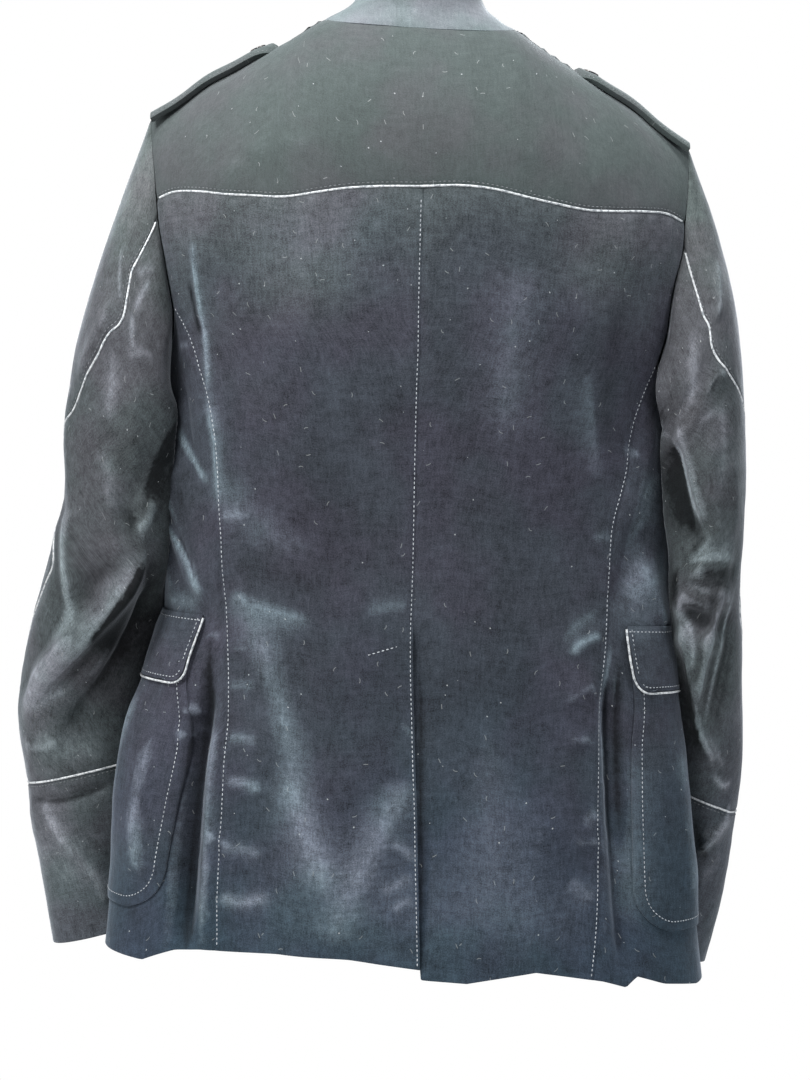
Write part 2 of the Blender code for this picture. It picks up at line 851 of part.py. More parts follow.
def tube(side, along, angle):
    """Points round the plain sleeve, without its fit to the armhole and its folds."""
    sign = -1.0 if side == "left" else 1.0
    sizes = SLEEVE[side]
    size = {name: along_curve(along, sizes["along"], sizes[name]) for name in sizes}
    sine, cosine = superellipse(np.radians(angle))
    width = size["outer"] - size["inner"]
    fall = size["outer_drop"] - size["inner_drop"]
    across = size["inner"] + width * (1.0 + cosine) / 2
    drop = size["inner_drop"] + fall * (1.0 + cosine) / 2
    depth = size["middle"] - size["depth"] * sine
    return np.stack([across * sign, depth, -drop], axis=-1)


def sleeve_grid(side, loop, rows):
    """The sleeve's points from its head to the rows given, through the armhole's own points."""
    sign = -1.0 if side == "left" else 1.0
    along = np.array(rows, float)[:, None]
    lowest = int(np.argmin(loop[:, 2]))
    lengths = np.linalg.norm(np.roll(loop, -1, axis=0) - loop, axis=1)
    way = np.concatenate([[0.0], np.cumsum(lengths)[:-1]])
    total = lengths.sum()
    angle = np.where(
        way <= way[lowest],
        180.0 * way / way[lowest],
        180.0 + 180.0 * (way - way[lowest]) / (total - way[lowest]),
    )
    back = YOKE_ROWS + 1
    front = int(np.argmin(np.abs(angle - FRONT_SEAM_ANGLE)))
    knots = [angle[front] - 360.0, angle[back], angle[front]]
    seam = BACK_SEAM[side]
    start = np.interp(rows, [0.0, seam["along"][0]], [angle[back], seam["angle"][0]])
    seam_angle = np.where(
        along[:, 0] < seam["along"][0], start, along_curve(along[:, 0], seam["along"], seam["angle"])
    )
    unrolled = np.where(angle > angle[front], angle - 360.0, angle)
    ring = np.empty((len(rows), len(loop)))
    for row in range(len(rows)):
        targets = [knots[0], seam_angle[row], knots[2]]
        ring[row] = np.interp(unrolled, knots, targets)
    points = tube(side, along, ring)
    head = tube(side, np.zeros(1), angle)
    keep = 1.0 - smooth_step(along / HEAD_BLEND)
    points = points + keep[..., None] * (loop - head)

    centre = points.mean(axis=1, keepdims=True)
    outward = unit(points - centre)
    lift = sleeve_fold(ring, along, side) * smooth_step((along - 60.0) / 60.0)
    points = points + outward * lift[..., None]

    clear = HEAD_CLEARANCE + (BODY_CLEARANCE - HEAD_CLEARANCE) * smooth_step(along / 60.0)
    points[..., 0] = sign * clear_of_body(points, clear, side)
    return points, back, front


def clear_of_body(points, clear, side):
    """Distances from the middle, pushed out where the sleeve would meet the body's side."""
    sign = -1.0 if side == "left" else 1.0
    drop = -points[..., 2]
    across = points[..., 0] * sign
    back = along_curve(drop, BODY["drop"], BODY["back"])
    front = along_curve(drop, BODY["drop"], BODY["front"])
    share = np.abs(points[..., 1]) / np.where(points[..., 1] < 0, back, front)
    wall = half_width(sign, drop) * np.clip(1.0 - share**CORNER, 0.0, 1.0) ** (1.0 / CORNER)
    limit = np.where(share < 1, wall + clear, 0.0)
    soft = np.sqrt((across - limit) ** 2 + clear**2)
    pushed = (across + limit + soft) / 2
    return np.where(drop > 250.0, np.maximum(pushed, across), across)


def build_sleeve(side, made):
    sign = -1.0 if side == "left" else 1.0
    loop, loop_normals = armhole_loop(side, made)
    off_edge = seam_frame(loop, loop_normals, sign)
    rows = SLEEVE_ROWS + CUFF_ROWS[1:]
    points, back, front = sleeve_grid(side, loop, rows)
    under = smooth_step((-loop[:, 2] - 215.0) / 60.0)[:, None]
    points[0] = loop + off_edge * HEAD_GAP + loop_normals * HEAD_LIFT * under
    normals = grid_normals(points, True) * -sign
    inward = -normals
    against = np.minimum((inward[0] * off_edge).sum(axis=-1, keepdims=True), 0.0)
    inward[0] = unit(inward[0] - off_edge * against)

    count = points.shape[1]
    last = len(SLEEVE_ROWS) - 1
    upper = [index % count for index in range(front, count + back + 1)]
    lower = list(range(back, front + 1))
    for name, columns in (("sleeve_upper_", upper), ("sleeve_under_", lower)):
        piece = pulled_in(points[: last + 1, columns], ("bottom", "start", "end"))
        add_wall(name + side, piece, None, velvet, inward=inward[: last + 1, columns])
    around = list(range(count)) + [0]
    cuff = pulled_in(points[last:, around], ("top",))
    add_wall("cuff_" + side, cuff, None, velvet, inward=inward[last:, around], closed=True)

    lifted = points + normals * PIPING_LIFT
    start = lifted[0, back] * 0.6 + lifted[1, back] * 0.4
    end = lifted[last, back] * 0.16 + lifted[last - 1, back] * 0.84
    run = np.concatenate([[start], lifted[1:last, back], [end]])
    add_piping("sleeve_piping_" + side, run, satin)
    add_piping("cuff_piping_" + side, lifted[last], satin, closed=True)


def build_collar(made):
    """The stand collar: a curved band from the neck seam, open at the centre front."""
    yoke_points, yoke_normals = made["yoke"]
    shoulder = BACK_CELLS - NECK_CELLS
    back = slice(shoulder, 2 * BACK_CELLS - shoulder + 1)
    parts = []
    for side in ("left", "right"):
        points, normals = made["front_" + side]
        first = points.shape[1] - NECK_CELLS - 2
        parts.append((points[0, first + 1 : -1], normals[0, first + 1 : -1]))
    (left, left_normals), (right, right_normals) = parts
    base = np.concatenate([left[::-1], yoke_points[0, back], right])
    normals = np.concatenate([left_normals[::-1], yoke_normals[0, back], right_normals])
    base[0, 0] = -COLLAR_OPENING
    base[-1, 0] = COLLAR_OPENING
    off_edge = seam_frame(base, normals, 1.0, closed=False)
    base = base + off_edge * 0.4 + normals * 0.5
    angle = np.arctan2(base[:, 0], -(base[:, 1] - RIDGE_Y))
    top_drop_here = COLLAR_TOP_BACK + (COLLAR_TOP_FRONT - COLLAR_TOP_BACK) * (
        (1.0 - np.cos(angle)) / 2
    ) ** 1.5
    top = np.stack(
        [
            COLLAR_TOP_HALF * np.sin(angle),
            -COLLAR_TOP_REACH * np.cos(angle) + 2.0,
            -top_drop_here,
        ],
        axis=-1,
    )
    top[0, 0] = -COLLAR_OPENING
    top[-1, 0] = COLLAR_OPENING
    share = np.linspace(0.0, 1.0, 5)[:, None, None]
    bow = np.sin(math.pi * share) * COLLAR_BOW
    centre = np.array([0.0, 0.0, 0.0])
    inward = unit((centre - base) * np.array([1.0, 1.0, 0.0]))
    inward[0] = inward[1]
    inward[-1] = inward[-2]
    grid = base * (1.0 - share) + top * share + inward * bow
    grid[:, 0, 0] = -COLLAR_OPENING
    grid[:, -1, 0] = COLLAR_OPENING
    grid = grid[::-1]
    grid_out = grid_normals(grid, False)
    flip = np.sign((grid_out[2, grid.shape[1] // 2] * np.array([0.0, -1.0, 0.0])).sum())
    inward_wall = -grid_out * flip
    against = np.minimum((inward_wall[-1] * off_edge).sum(axis=-1, keepdims=True), 0.0)
    inward_wall[-1] = unit(inward_wall[-1] - off_edge * against)
    add_wall("collar", grid, None, collar_velvet, COLLAR_CLOTH, inward=inward_wall)


def build_epaulette(side):
    """A strap along the shoulder, sewn in at the sleeve head and round at the neck end."""
    sign = -1.0 if side == "left" else 1.0
    across = SHOULDER_TIP - EPAULETTE["along"] * EPAULETTE_LENGTH[side]
    share = np.linspace(-1.0, 1.0, 6)
    off = share[:, None] * EPAULETTE["width"] * EPAULETTE_HALF_WIDTH
    drop = shoulder_drop(across) + EPAULETTE_BEND * off**2
    points = np.stack([sign * across * np.ones_like(off), RIDGE_Y + off, -drop], axis=-1)
    normals = grid_normals(points, False)
    normals = normals * np.sign(normals[..., 2:3])
    points = points + normals * (EPAULETTE["rise"] + CLOTH)[None, :, None]
    add_wall("epaulette_" + side, points, normals, velvet)
    middle = (points[2, -2] + points[3, -2]) / 2
    up = unit(normals[2, -2] + normals[3, -2])
    add_button("epaulette_button_" + side, middle, up, SMALL_BUTTON_RADIUS, horn)


def pocket_block(side, made, first, last):
    """The body's own points under a pocket or flap, over the side piece and the front."""
    corner = CORNER_ROW[side]
    side_points, side_normals = made["side_" + side]
    front_points, front_normals = made["front_" + side]
    rows = slice(first - corner, last - corner + 1)
    front_rows = slice(first - CHEST_ROW + FRONT_ROWS, last - CHEST_ROW + FRONT_ROWS + 1)
    joined = []
    for side_part, front_part in ((side_points, front_points), (side_normals, front_normals)):
        joined.append(
            np.concatenate(
                [side_part[rows, FOLD_CELLS:], front_part[front_rows, 1 : POCKET_FRONT_CELLS + 1]],
                axis=1,
            )
        )
    return joined


def build_pocket(side, made):
    """A patch pocket with round lower corners, and its flap with piping on three edges."""
    points, normals = pocket_block(side, made, POCKET_TOP, POCKET_BOTTOM)
    lifted = points + normals * (LAYER_GAP + CLOTH)
    for column, beside in ((0, 1), (-1, -2)):
        lifted[-1, column] += (lifted[-2, beside] - lifted[-1, column]) * 0.42
        lifted[-1, beside] += (lifted[-2, beside] - lifted[-1, beside]) * 0.06
        lifted[-2, column] += (lifted[-2, beside] - lifted[-2, column]) * 0.06
    if side == "left":
        add_wall("pocket_" + side, lifted[:, ::-1], normals[:, ::-1], velvet)
    else:
        add_wall("pocket_" + side, lifted, normals, velvet)

    points, normals = pocket_block(side, made, FLAP_TOP, FLAP_BOTTOM)
    above = 2 * LAYER_GAP + 2 * CLOTH
    height = np.array([LAYER_GAP + CLOTH, above, above])[:, None, None]
    flap = points + normals * height
    for column, beside in ((0, 1), (-1, -2)):
        flap[-1, column] += (flap[-2, beside] - flap[-1, column]) * 0.14
    if side == "left":
        add_wall("flap_" + side, flap[:, ::-1], normals[:, ::-1], velvet)
    else:
        add_wall("flap_" + side, flap, normals, velvet)

    edge = np.concatenate([flap[:, 0], flap[-1, 1:], flap[-2::-1, -1]])
    edge_normals = np.concatenate([normals[:, 0], normals[-1, 1:], normals[-2::-1, -1]])
    turned = -np.sign(edge[0, 0])
    beyond = seam_frame(edge, edge_normals, turned, closed=False)
    cord = edge + beyond * (PIPING_RADIUS + 0.5) - edge_normals * (CLOTH / 2 - 0.35)
    cord[0] = cord[0] * 0.85 + cord[1] * 0.15
    cord[-1] = cord[-1] * 0.85 + cord[-2] * 0.15
    add_piping("flap_piping_" + side, cord, satin)


def build_yoke_piping(made):
    points, normals = made["yoke"]
    run = points[-1] + normals[-1] * PIPING_LIFT
    run[0] = run[0] * 0.75 + run[1] * 0.25
    run[-1] = run[-1] * 0.75 + run[-2] * 0.25
    add_piping("yoke_piping", run, satin)


def build_buttons():
    """The five buttons of the centre front, on the front that laps over."""
    for number, drop in enumerate(BUTTON_DROPS, 1):
        turn = np.array([-2.0])
        drops = np.array([drop])
        centre = body(turn, drops)[0]
        normal = body_normals(turn, drops)[0]
        add_button(f"front_button_{number}", centre, normal, BUTTON_RADIUS, horn)


for stray in list(bpy.data.objects):
    bpy.data.objects.remove(stray, do_unlink=True)
jacket = bpy.data.collections.new("military_jacket")
bpy.context.scene.collection.children.link(jacket)

velvet = material("velvet", VELVET, 0.8)
yoke_velvet = material("yoke_velvet", YOKE_VELVET, 0.8)
collar_velvet = material("collar_velvet", VELVET, 0.75)
satin = material("satin_piping", SATIN, 0.4)
horn = material("horn", HORN, 0.35)

sewn = build_body()
for wearer_side in ("left", "right"):
    build_sleeve(wearer_side, sewn)
    build_epaulette(wearer_side)
    build_pocket(wearer_side, sewn)
build_collar(sewn)
build_yoke_piping(sewn)
build_buttons()
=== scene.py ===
"""The looks of the velvet military jacket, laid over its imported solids.

+X is the jacket's right, +Y the front and +Z up. The origin is the middle of the neck
opening. Sizes are in millimetres and become metres when a piece is placed. A height is a
drop below the neck. A place round the body is a turn: 0 is the centre back, 1 the side and
2 the centre front, and it is minus on the jacket's left. A place round a sleeve is an angle:
0 is its outer side, 90 the back, 180 the side next to the body and 270 the front.
"""

import math

import bmesh
import bpy
import numpy as np
from mathutils import Matrix, Vector


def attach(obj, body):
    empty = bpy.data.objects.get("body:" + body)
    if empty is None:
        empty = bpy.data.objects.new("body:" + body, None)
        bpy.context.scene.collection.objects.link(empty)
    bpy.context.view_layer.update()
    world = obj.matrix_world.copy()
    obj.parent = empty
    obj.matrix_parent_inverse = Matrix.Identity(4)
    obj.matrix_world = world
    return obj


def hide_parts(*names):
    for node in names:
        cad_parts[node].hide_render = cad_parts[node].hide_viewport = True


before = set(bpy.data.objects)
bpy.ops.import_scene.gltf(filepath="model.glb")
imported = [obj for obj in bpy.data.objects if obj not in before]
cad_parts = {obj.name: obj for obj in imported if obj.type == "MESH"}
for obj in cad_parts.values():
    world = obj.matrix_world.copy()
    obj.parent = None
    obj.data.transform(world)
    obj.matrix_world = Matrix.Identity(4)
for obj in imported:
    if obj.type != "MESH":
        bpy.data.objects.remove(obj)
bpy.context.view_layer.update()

MM = 0.001
SIGN = {"left": -1.0, "right": 1.0}
CLOTH = 1.6
COLLAR_CLOTH = 2.4
LAYER_GAP = 0.5
LAP_GAP = 1.0
TILT = 0.055  # how much lower the right side hangs for each millimetre across
CORNER = 2.3  # how square a cross-section is: 2 is an ellipse

NECK_HALF = 76.0
NECK_SIDE_DROP = 5.0
NECK_DIP = {"back": 10.0, "front": 62.0}
RIDGE_Y = -8.0
SHOULDER_ROLL = {"back": 135.0, "front": 190.0}
CHEST_EASE = 0.3  # how much flatter than a round shoulder the front is below the neck
SHOULDER_TIP = 216.0

COLLAR_TOP_HALF = 52.0
COLLAR_TOP_REACH = 64.0
COLLAR_TOP_BACK = -28.0
COLLAR_TOP_FRONT = 26.0
COLLAR_BOW = 5.0
COLLAR_OPENING = 2.0

UNDERLAP = 35.0
UNDERLAP_SHORTER = 5.0
COVERED = 2.0
UNDERLAP_RAMP = 13.0
FRONT_OVERLAP = 16.0
FRONT_COVERED = 27.0
FRONT_UNDERLAP_RAMP = 22.0
UNDERARM_DROP = 292.0
WAIST_DROP = 420.0
TACK_BELOW = 15.0  # from the vent's top down to the tack's upper end
TACK_FALL = 12.0
TACK_REACH = 33.0

CREASE_RISE = 1.35
CREASE_EDGE = 1.35  # 2 is a round ridge and 1 a sharp one
CREASE_STEPS = 12
ROW_CROWDING = 1.7  # how much closer the rows lie next to the shoulder seam
# Soft waves all over the cloth: their height, size, seed and how far they are drawn out.
BODY_WAVES = ((0.6, 70.0, 1.0, 0.7), (0.25, 26.0, 2.0, 1.0))
SLEEVE_WAVES = ((0.6, 60.0, 3.0, 0.7), (0.25, 24.0, 5.0, 1.0))

SLEEVE_END = 505.0
CUFF_END = 650.0
SLEEVE_RADIUS = 52.0  # turns the angles of a sleeve's folds into millimetres
SLEEVE_MIRROR = 350.0  # the front of a sleeve gets the pile tone and the painted fold light and shade of the back at this minus its angle
SLEEVE_FRONT_FROM = 196.0
FRONT_NAP_AND_LIGHT_SHARE = 0.8
FRONT_NAP_AND_LIGHT_LOWER = {"body": 24.0, "sleeve": 18.0}
CLEAR_BELOW = 250.0  # the drop below which a sleeve is kept off the body
POCKET_CORNER = 36.0
FLAP_CORNER = 13.0
CORD_STEP = 4.0

# How far in from a piece's edge its stitches run.
STITCHES_IN = {
    "yoke": 3.0,
    "back": 2.0,
    "sleeve": 3.4,
    "cuff": 3.6,
    "strap": 3.0,
    "flap_top": 4.6,
    "flap": 3.2,
    "pocket": 8.0,
}
SEAM_SINK = 0.8
SEAM_REACH = 2.8

PIPING_RADIUS = 1.1
BUTTON_RADIUS = 10.0
BUTTON_LIFT = 0.8
SMALL_BUTTON_RADIUS = 7.0
BUTTON_DROPS = (136.0, 218.0, 300.0, 382.0, 464.0)
EPAULETTE_HALF_WIDTH = 22.0
EPAULETTE_LENGTH = {"left": 100.0, "right": 90.0}
EPAULETTE_BEND = 0.0042  # how fast the strap falls away on both sides of the shoulder seam


def table(names, text):
    """A table of sizes, as one array for each named column. A comma or a line's end ends a row."""
    rows = [row.split() for row in text.replace("\n", ",").split(",") if row.strip()]
    return dict(zip(names.split(), np.array(rows, float).T))


def side_tables(names, left, right):
    """A table of the same kind for each side."""
    return {"left": table(names, left), "right": table(names, right)}


# Half the body's width on each side of the centre back, and its depth behind and before.
BODY = table(
    "drop left right back front",
    """
    0 232 232 116 112
    90 232 232 118 114
    150 226 226 118 116
    200 217 217 117 116
    250 206 206 114 114
    290 201 201 110 111
    340 204 202 103 106
    390 208 203 97 100
    440 206 203 93 95
    490 208 206 92 93
    545 223 209 96 94
    605 237 214 103 97
    680 248 222 109 101
    765 258 231 114 104
    """,
)

# The top of the shoulders, from the middle of the neck opening out to the tip. The shoulder
# seam lies on it.
SHOULDER = table(
    "across drop",
    """
    0 -9.5, 30 -7, 55 -2, 76 5, 101 21, 123 34, 146 48, 168 60, 190 76, 216 92
    """,
)

# The armhole's edge on the back and on the front, down to where the side pieces begin.
ARMHOLE = table(
    "drop back_left back_right front",
    """
    92 216 216 216, 115 213 214 206, 157 209 210 194, 178 207 208 190, 201 203 202 189
    225 199 198 191, 243 196 195 193, 268 190 187 196
    """,
)

# The strap on each shoulder, from the sleeve head to its round end: the share of its length,
# the share of its half width and its height over the cloth.
EPAULETTE = table(
    "along width rise",
    """
    0.03 1.12 1.2, 0.20 1.06 1.8, 0.38 1.0 2.6, 0.56 1.0 3.2, 0.73 1.0 3.7, 0.86 0.94 4.0
    0.95 0.72 4.2, 1.0 0.36 4.3
    """,
)

YOKE_SEAM = table(
    "across left right",
    """
    0 141 141, 35 143 138.5, 58 145.5 140, 80 149.5 144, 105 154 148, 131 154 151, 152 153.5 150
    177 151.5 148, 196 152.5 148, 209 157.5 152.5
    """,
)

# The seams that run down the back: how far each lies from the middle.
BACK_SEAMS = table(
    "drop centre left right",
    """
    140 2.6 209 209, 243 0.3 196 195, 268 0 180.5 187, 292 -1 173 178, 314 -1.5 167.5 171
    360 -2.5 162 162, 392 -3 160 154, 440 -4 157 151, 490 -5.7 154.5 148.5, 566 -4.2 153.5 144
    629 -2.6 156.5 142, 708 -1 161 140.5, 760 -0.3 163 136
    """,
)

POCKET_EDGE = table(
    "drop left right",
    """
    243 199.5 199, 268 195 195, 300 189 187, 400 177 172, 480 171 164, 540 185 170, 570 182 168
    640 193 168, 680 200 169, 760 208 174
    """,
)
SIDE_FRONT_TURN = 1.25
POCKET_FRONT_TURN = 1.44

# The rows of the body below the yoke seam, and where each falls at the two sides.
LEVELS = table(
    "left right",
    """
    150 150, 173 173, 196 196, 219 219, 243 243, 268 268, 297 297, 327 325, 357 353, 387 381
    418 410, 450 441, 485 475, 501 491, 540 527, 572 562, 606 598, 640 634, 672 668, 700 695
    723 718, 755 755
    """,
)
LAST = len(LEVELS["left"]) - 1
CHEST_ROW = 4
CORNER_ROW = {"left": 4, "right": 5}
FLAP_TOP = 12
POCKET_TOP = 13
FLAP_BOTTOM = 14
POCKET_BOTTOM = 20
VENT_ROW = 13

HEM = table(
    "turn drop",
    """
    -2 757, -1.5 760, -1 760, -0.62 762, -0.52 750, -0.45 747, -0.28 744, -0.14 745, -0.001 749
    0.001 757, 0.1 758, 0.25 747, 0.41 754, 0.475 759, 0.51 751, 0.6 758, 0.8 763, 1 761, 1.5 760
    2 757
    """,
)

# Folds of the body's cloth. Each runs straight from its top to its bottom; a rise above 0 is
# a ridge and one below 0 a trough.
BODY_FOLDS = table(
    "top_turn top_drop bottom_turn bottom_drop width rise",
    """
    -0.515 510 -0.495 775 0.034 -9
    0.488 490 0.476 775 0.034 -9
    -0.84 385 -0.575 478 0.045 5
    -0.70 375 -0.60 470 0.05 -4
    0.62 380 0.52 470 0.05 -3
    -0.30 610 -0.22 775 0.045 4
    -0.03 640 -0.16 775 0.05 -4
    0.30 600 0.24 775 0.06 3
    """,
)

SLEEVE = side_tables(
    "along outer outer_drop inner inner_drop middle depth",
    """
    0 216 92 201 292 0 54
    60 243 165 201 302 -2 62
    120 266 235 198 318 -3 66
    175 280 291 203 345 -3 67
    225 286 345 207 380 -2 66
    280 288 400 211 420 3 64
    320 298 436 215 455 10 62
    360 309 472 219 490 20 60
    400 321 514 223 525 32 58
    455 334 578 226 572 50 55
    505 328 642 225 612 64 52
    545 327 672 224 650 72 50
    595 321 713 221 700 82 47
    650 311 781 218 752 91 44
    """,
    """
    0 216 92 201 292 0 54
    60 240 160 201 302 -2 62
    120 255 222 196 318 -3 67
    175 261 285 198 345 -3 69
    225 263 345 202 380 -2 69
    280 262 395 208 418 3 68
    320 260.5 438 206 452 12 66
    360 264 478 204 490 24 64
    400 266 525 202 528 37 62
    455 269 585 200 572 54 59
    505 266 634 197 610 70 56
    545 263 665 193 648 80 53
    595 257 712 185 700 91 50
    650 244 768 174 748 101 47
    """,
)
HEAD_BLEND = 115.0
HEAD_GAP = 0.5
HEAD_LIFT = 1.0
HEAD_CLEARANCE = 0.9

# The piped back seam of each sleeve: its angle along the way down.
BACK_SEAM = side_tables(
    "along angle",
    """
    60 71, 80 77, 100 80, 112 77, 122 72, 135 68, 150 65, 165 60, 185 52, 205 42, 225 22, 245 8
    285 8, 320 34, 338 44, 355 38, 378 26, 400 14, 440 -8, 650 -14
    """,
    """
    60 80, 80 78, 105 80, 125 74, 150 58, 175 36, 200 12, 225 4, 300 6, 335 28, 352 30, 375 8
    400 -4, 650 -14
    """,
)
FRONT_SEAM_ANGLE = 240.0

# Folds of the sleeves, as for the body. A step has a ridge above its line and a trough below.
SLEEVE_FOLDS = side_tables(
    "top_angle top_along bottom_angle bottom_along width rise step",
    """
    127 310 26 464 16 9 1
    30 284 62 400 14 4 0
    136 188 109 298 16 -4 0
    43 560 150 610 14 -3 0
    """,
    """
    137 288 46 322 15 7 1
    142 342 63 362 14 6 1
    137 148 112 284 14 -4 0
    125 388 63 560 16 4 0
    """,
)

# Creases of the body, each through three points. Beside one that runs down, plus is the side of
# greater turn. It falls away over the plus and minus widths. A rise below 0 is a trough.
BODY_CREASES = table(
    "turn_a drop_a turn_b drop_b turn_c drop_c plus minus rise",
    """
    -0.93 362 -0.68 414 -0.572 482 24 6 7
    0.95 262 0.96 284 0.97 306 26 26 2.9
    -0.95 262 -0.96 284 -0.97 306 26 26 2.5
    -0.90 405 -0.80 440 -0.76 486 9 12 3
    -0.50 462 -0.40 486 -0.34 548 12 8 3.2
    -0.35 540 -0.27 614 -0.17 712 20 13 4.2
    -0.02 596 -0.085 668 -0.165 752 22 11 4.2
    -0.44 560 -0.40 650 -0.37 745 11 14 2.6
    -0.555 176 -0.575 222 -0.59 262 9 5 2.4
    -0.68 250 -0.62 300 -0.60 360 10 12 2.2
    -0.74 290 -0.66 350 -0.60 392 8 8 -2.5
    0.58 425 0.69 450 0.76 488 18 12 4
    0.36 503 0.42 489 0.47 480 8 8 2.6
    0.34 540 0.40 528 0.45 522 9 7 2
    0.72 300 0.64 352 0.56 400 9 12 2.6
    0.62 262 0.60 310 0.55 352 8 8 -2
    0.512 500 0.488 590 0.468 748 5 3.5 3
    0.488 505 0.474 600 0.470 765 5 5 -4
    0.30 610 0.25 680 0.24 752 22 16 3
    0.10 640 0.13 700 0.12 752 20 18 2
    -0.475 560 -0.462 640 -0.452 748 9 3.5 3.4
    -0.512 528 -0.500 640 -0.492 768 5 5 -5
    -0.575 566 -0.55 560 -0.522 565 4 4 2.2
    -0.59 586 -0.56 580 -0.53 584 4 4 1.8
    -0.47 406 -0.44 403 -0.41 404 5 5 1.8
    -0.47 512 -0.44 508 -0.41 511 5 5 1.6
    -0.46 664 -0.43 658 -0.38 668 6 6 2
    0.42 560 0.39 566 0.35 562 6 6 1.8
    0.43 640 0.39 646 0.35 640 6 6 1.8
    0.20 170 0.24 300 0.20 470 42 42 3
    -0.24 180 -0.28 300 -0.24 440 40 42 2.6
    0.42 190 0.46 280 0.42 380 26 30 2
    -0.03 250 -0.05 380 -0.03 560 34 30 1.6
    0.47 150 0.30 110 0.18 118 18 18 1.6
    -0.48 160 -0.34 116 -0.18 120 18 18 1.6
    -0.82 548 -0.90 600 -0.86 690 16 20 3.5
    -0.66 566 -0.70 640 -0.62 712 14 12 3
    0.74 560 0.82 630 0.78 720 18 16 3
    -1.30 240 -1.42 300 -1.56 345 14 10 3.6
    1.30 244 1.44 306 1.60 340 10 14 3.6
    -1.90 402 -1.62 432 -1.32 418 10 12 3
    -1.86 448 -1.60 470 -1.36 452 8 10 -2.2
    1.90 396 1.60 428 1.34 414 12 10 3
    1.88 462 1.66 478 1.42 462 9 9 2.2
    -1.72 560 -1.66 650 -1.62 752 22 26 4
    1.74 540 1.66 640 1.62 752 26 20 4
    -1.84 580 -1.82 660 -1.80 748 12 12 -2.4
    1.80 150 1.62 230 1.50 320 26 22 2.6
    -1.78 152 -1.60 226 -1.48 300 22 26 2.6
    -1.12 330 -1.10 420 -1.16 520 14 16 3
    1.12 320 1.10 424 1.14 530 16 14 3
    """,
)

SLEEVE_CREASES = side_tables(
    "angle_a along_a angle_b along_b angle_c along_c plus minus rise",
    """
    132 288 109 368 41 462 5 34 9
    138 316 126 394 66 486 30 9 -11
    38 258 58 330 84 400 20 6 6
    82 386 65 410 44 442 7 9 3.6
    66 98 55 144 45 186 12 7 3.2
    87 220 97 280 114 320 16 15 2.8
    136 234 131 274 120 282 6 9 4.5
    120 382 110 414 98 452 9 12 3
    33 474 55 480 79 476 6 6 3
    28 518 70 528 128 516 6 6 -3.4
    48 548 85 590 96 642 12 16 4
    110 538 127 580 124 636 10 12 2.6
    108 122 113 190 123 238 18 16 2.6
    30 188 33 238 38 290 9 12 2.6
    300 280 268 302 236 292 7 9 3.6
    306 312 268 326 228 318 7 7 -3.6
    310 344 272 356 232 346 9 7 4
    318 376 282 392 246 388 8 9 2.6
    330 110 306 180 290 250 16 14 3
    285 430 270 480 268 540 12 12 2.4
    """,
    """
    130 110 121 196 105 266 5 24 6
    135 148 129 212 116 282 9 9 -4
    129 292 93 296 48 302 13 12 4.6
    135 308 102 312 64 316 6 6 -3.6
    141 310 118 326 87 330 6 7 4
    69 312 94 366 107 422 15 4.5 6.5
    54 330 71 372 87 420 9 9 -3
    116 414 99 444 72 466 6 9 4.5
    143 316 130 350 112 410 5 13 5
    36 58 53 78 68 96 8 12 3
    61 150 78 136 99 142 7 7 2.4
    46 482 66 532 93 560 7 13 4.6
    99 512 129 562 120 624 10 12 2.6
    97 168 89 226 85 284 17 17 3
    62 200 57 238 61 290 9 12 2.4
    302 272 266 294 234 286 7 9 3.6
    308 306 270 318 230 312 7 7 -3.6
    312 338 274 352 234 344 9 7 4
    318 372 284 388 250 382 8 9 2.6
    332 104 308 170 290 244 16 14 3
    288 424 274 476 270 536 12 12 2.4
    """,
)
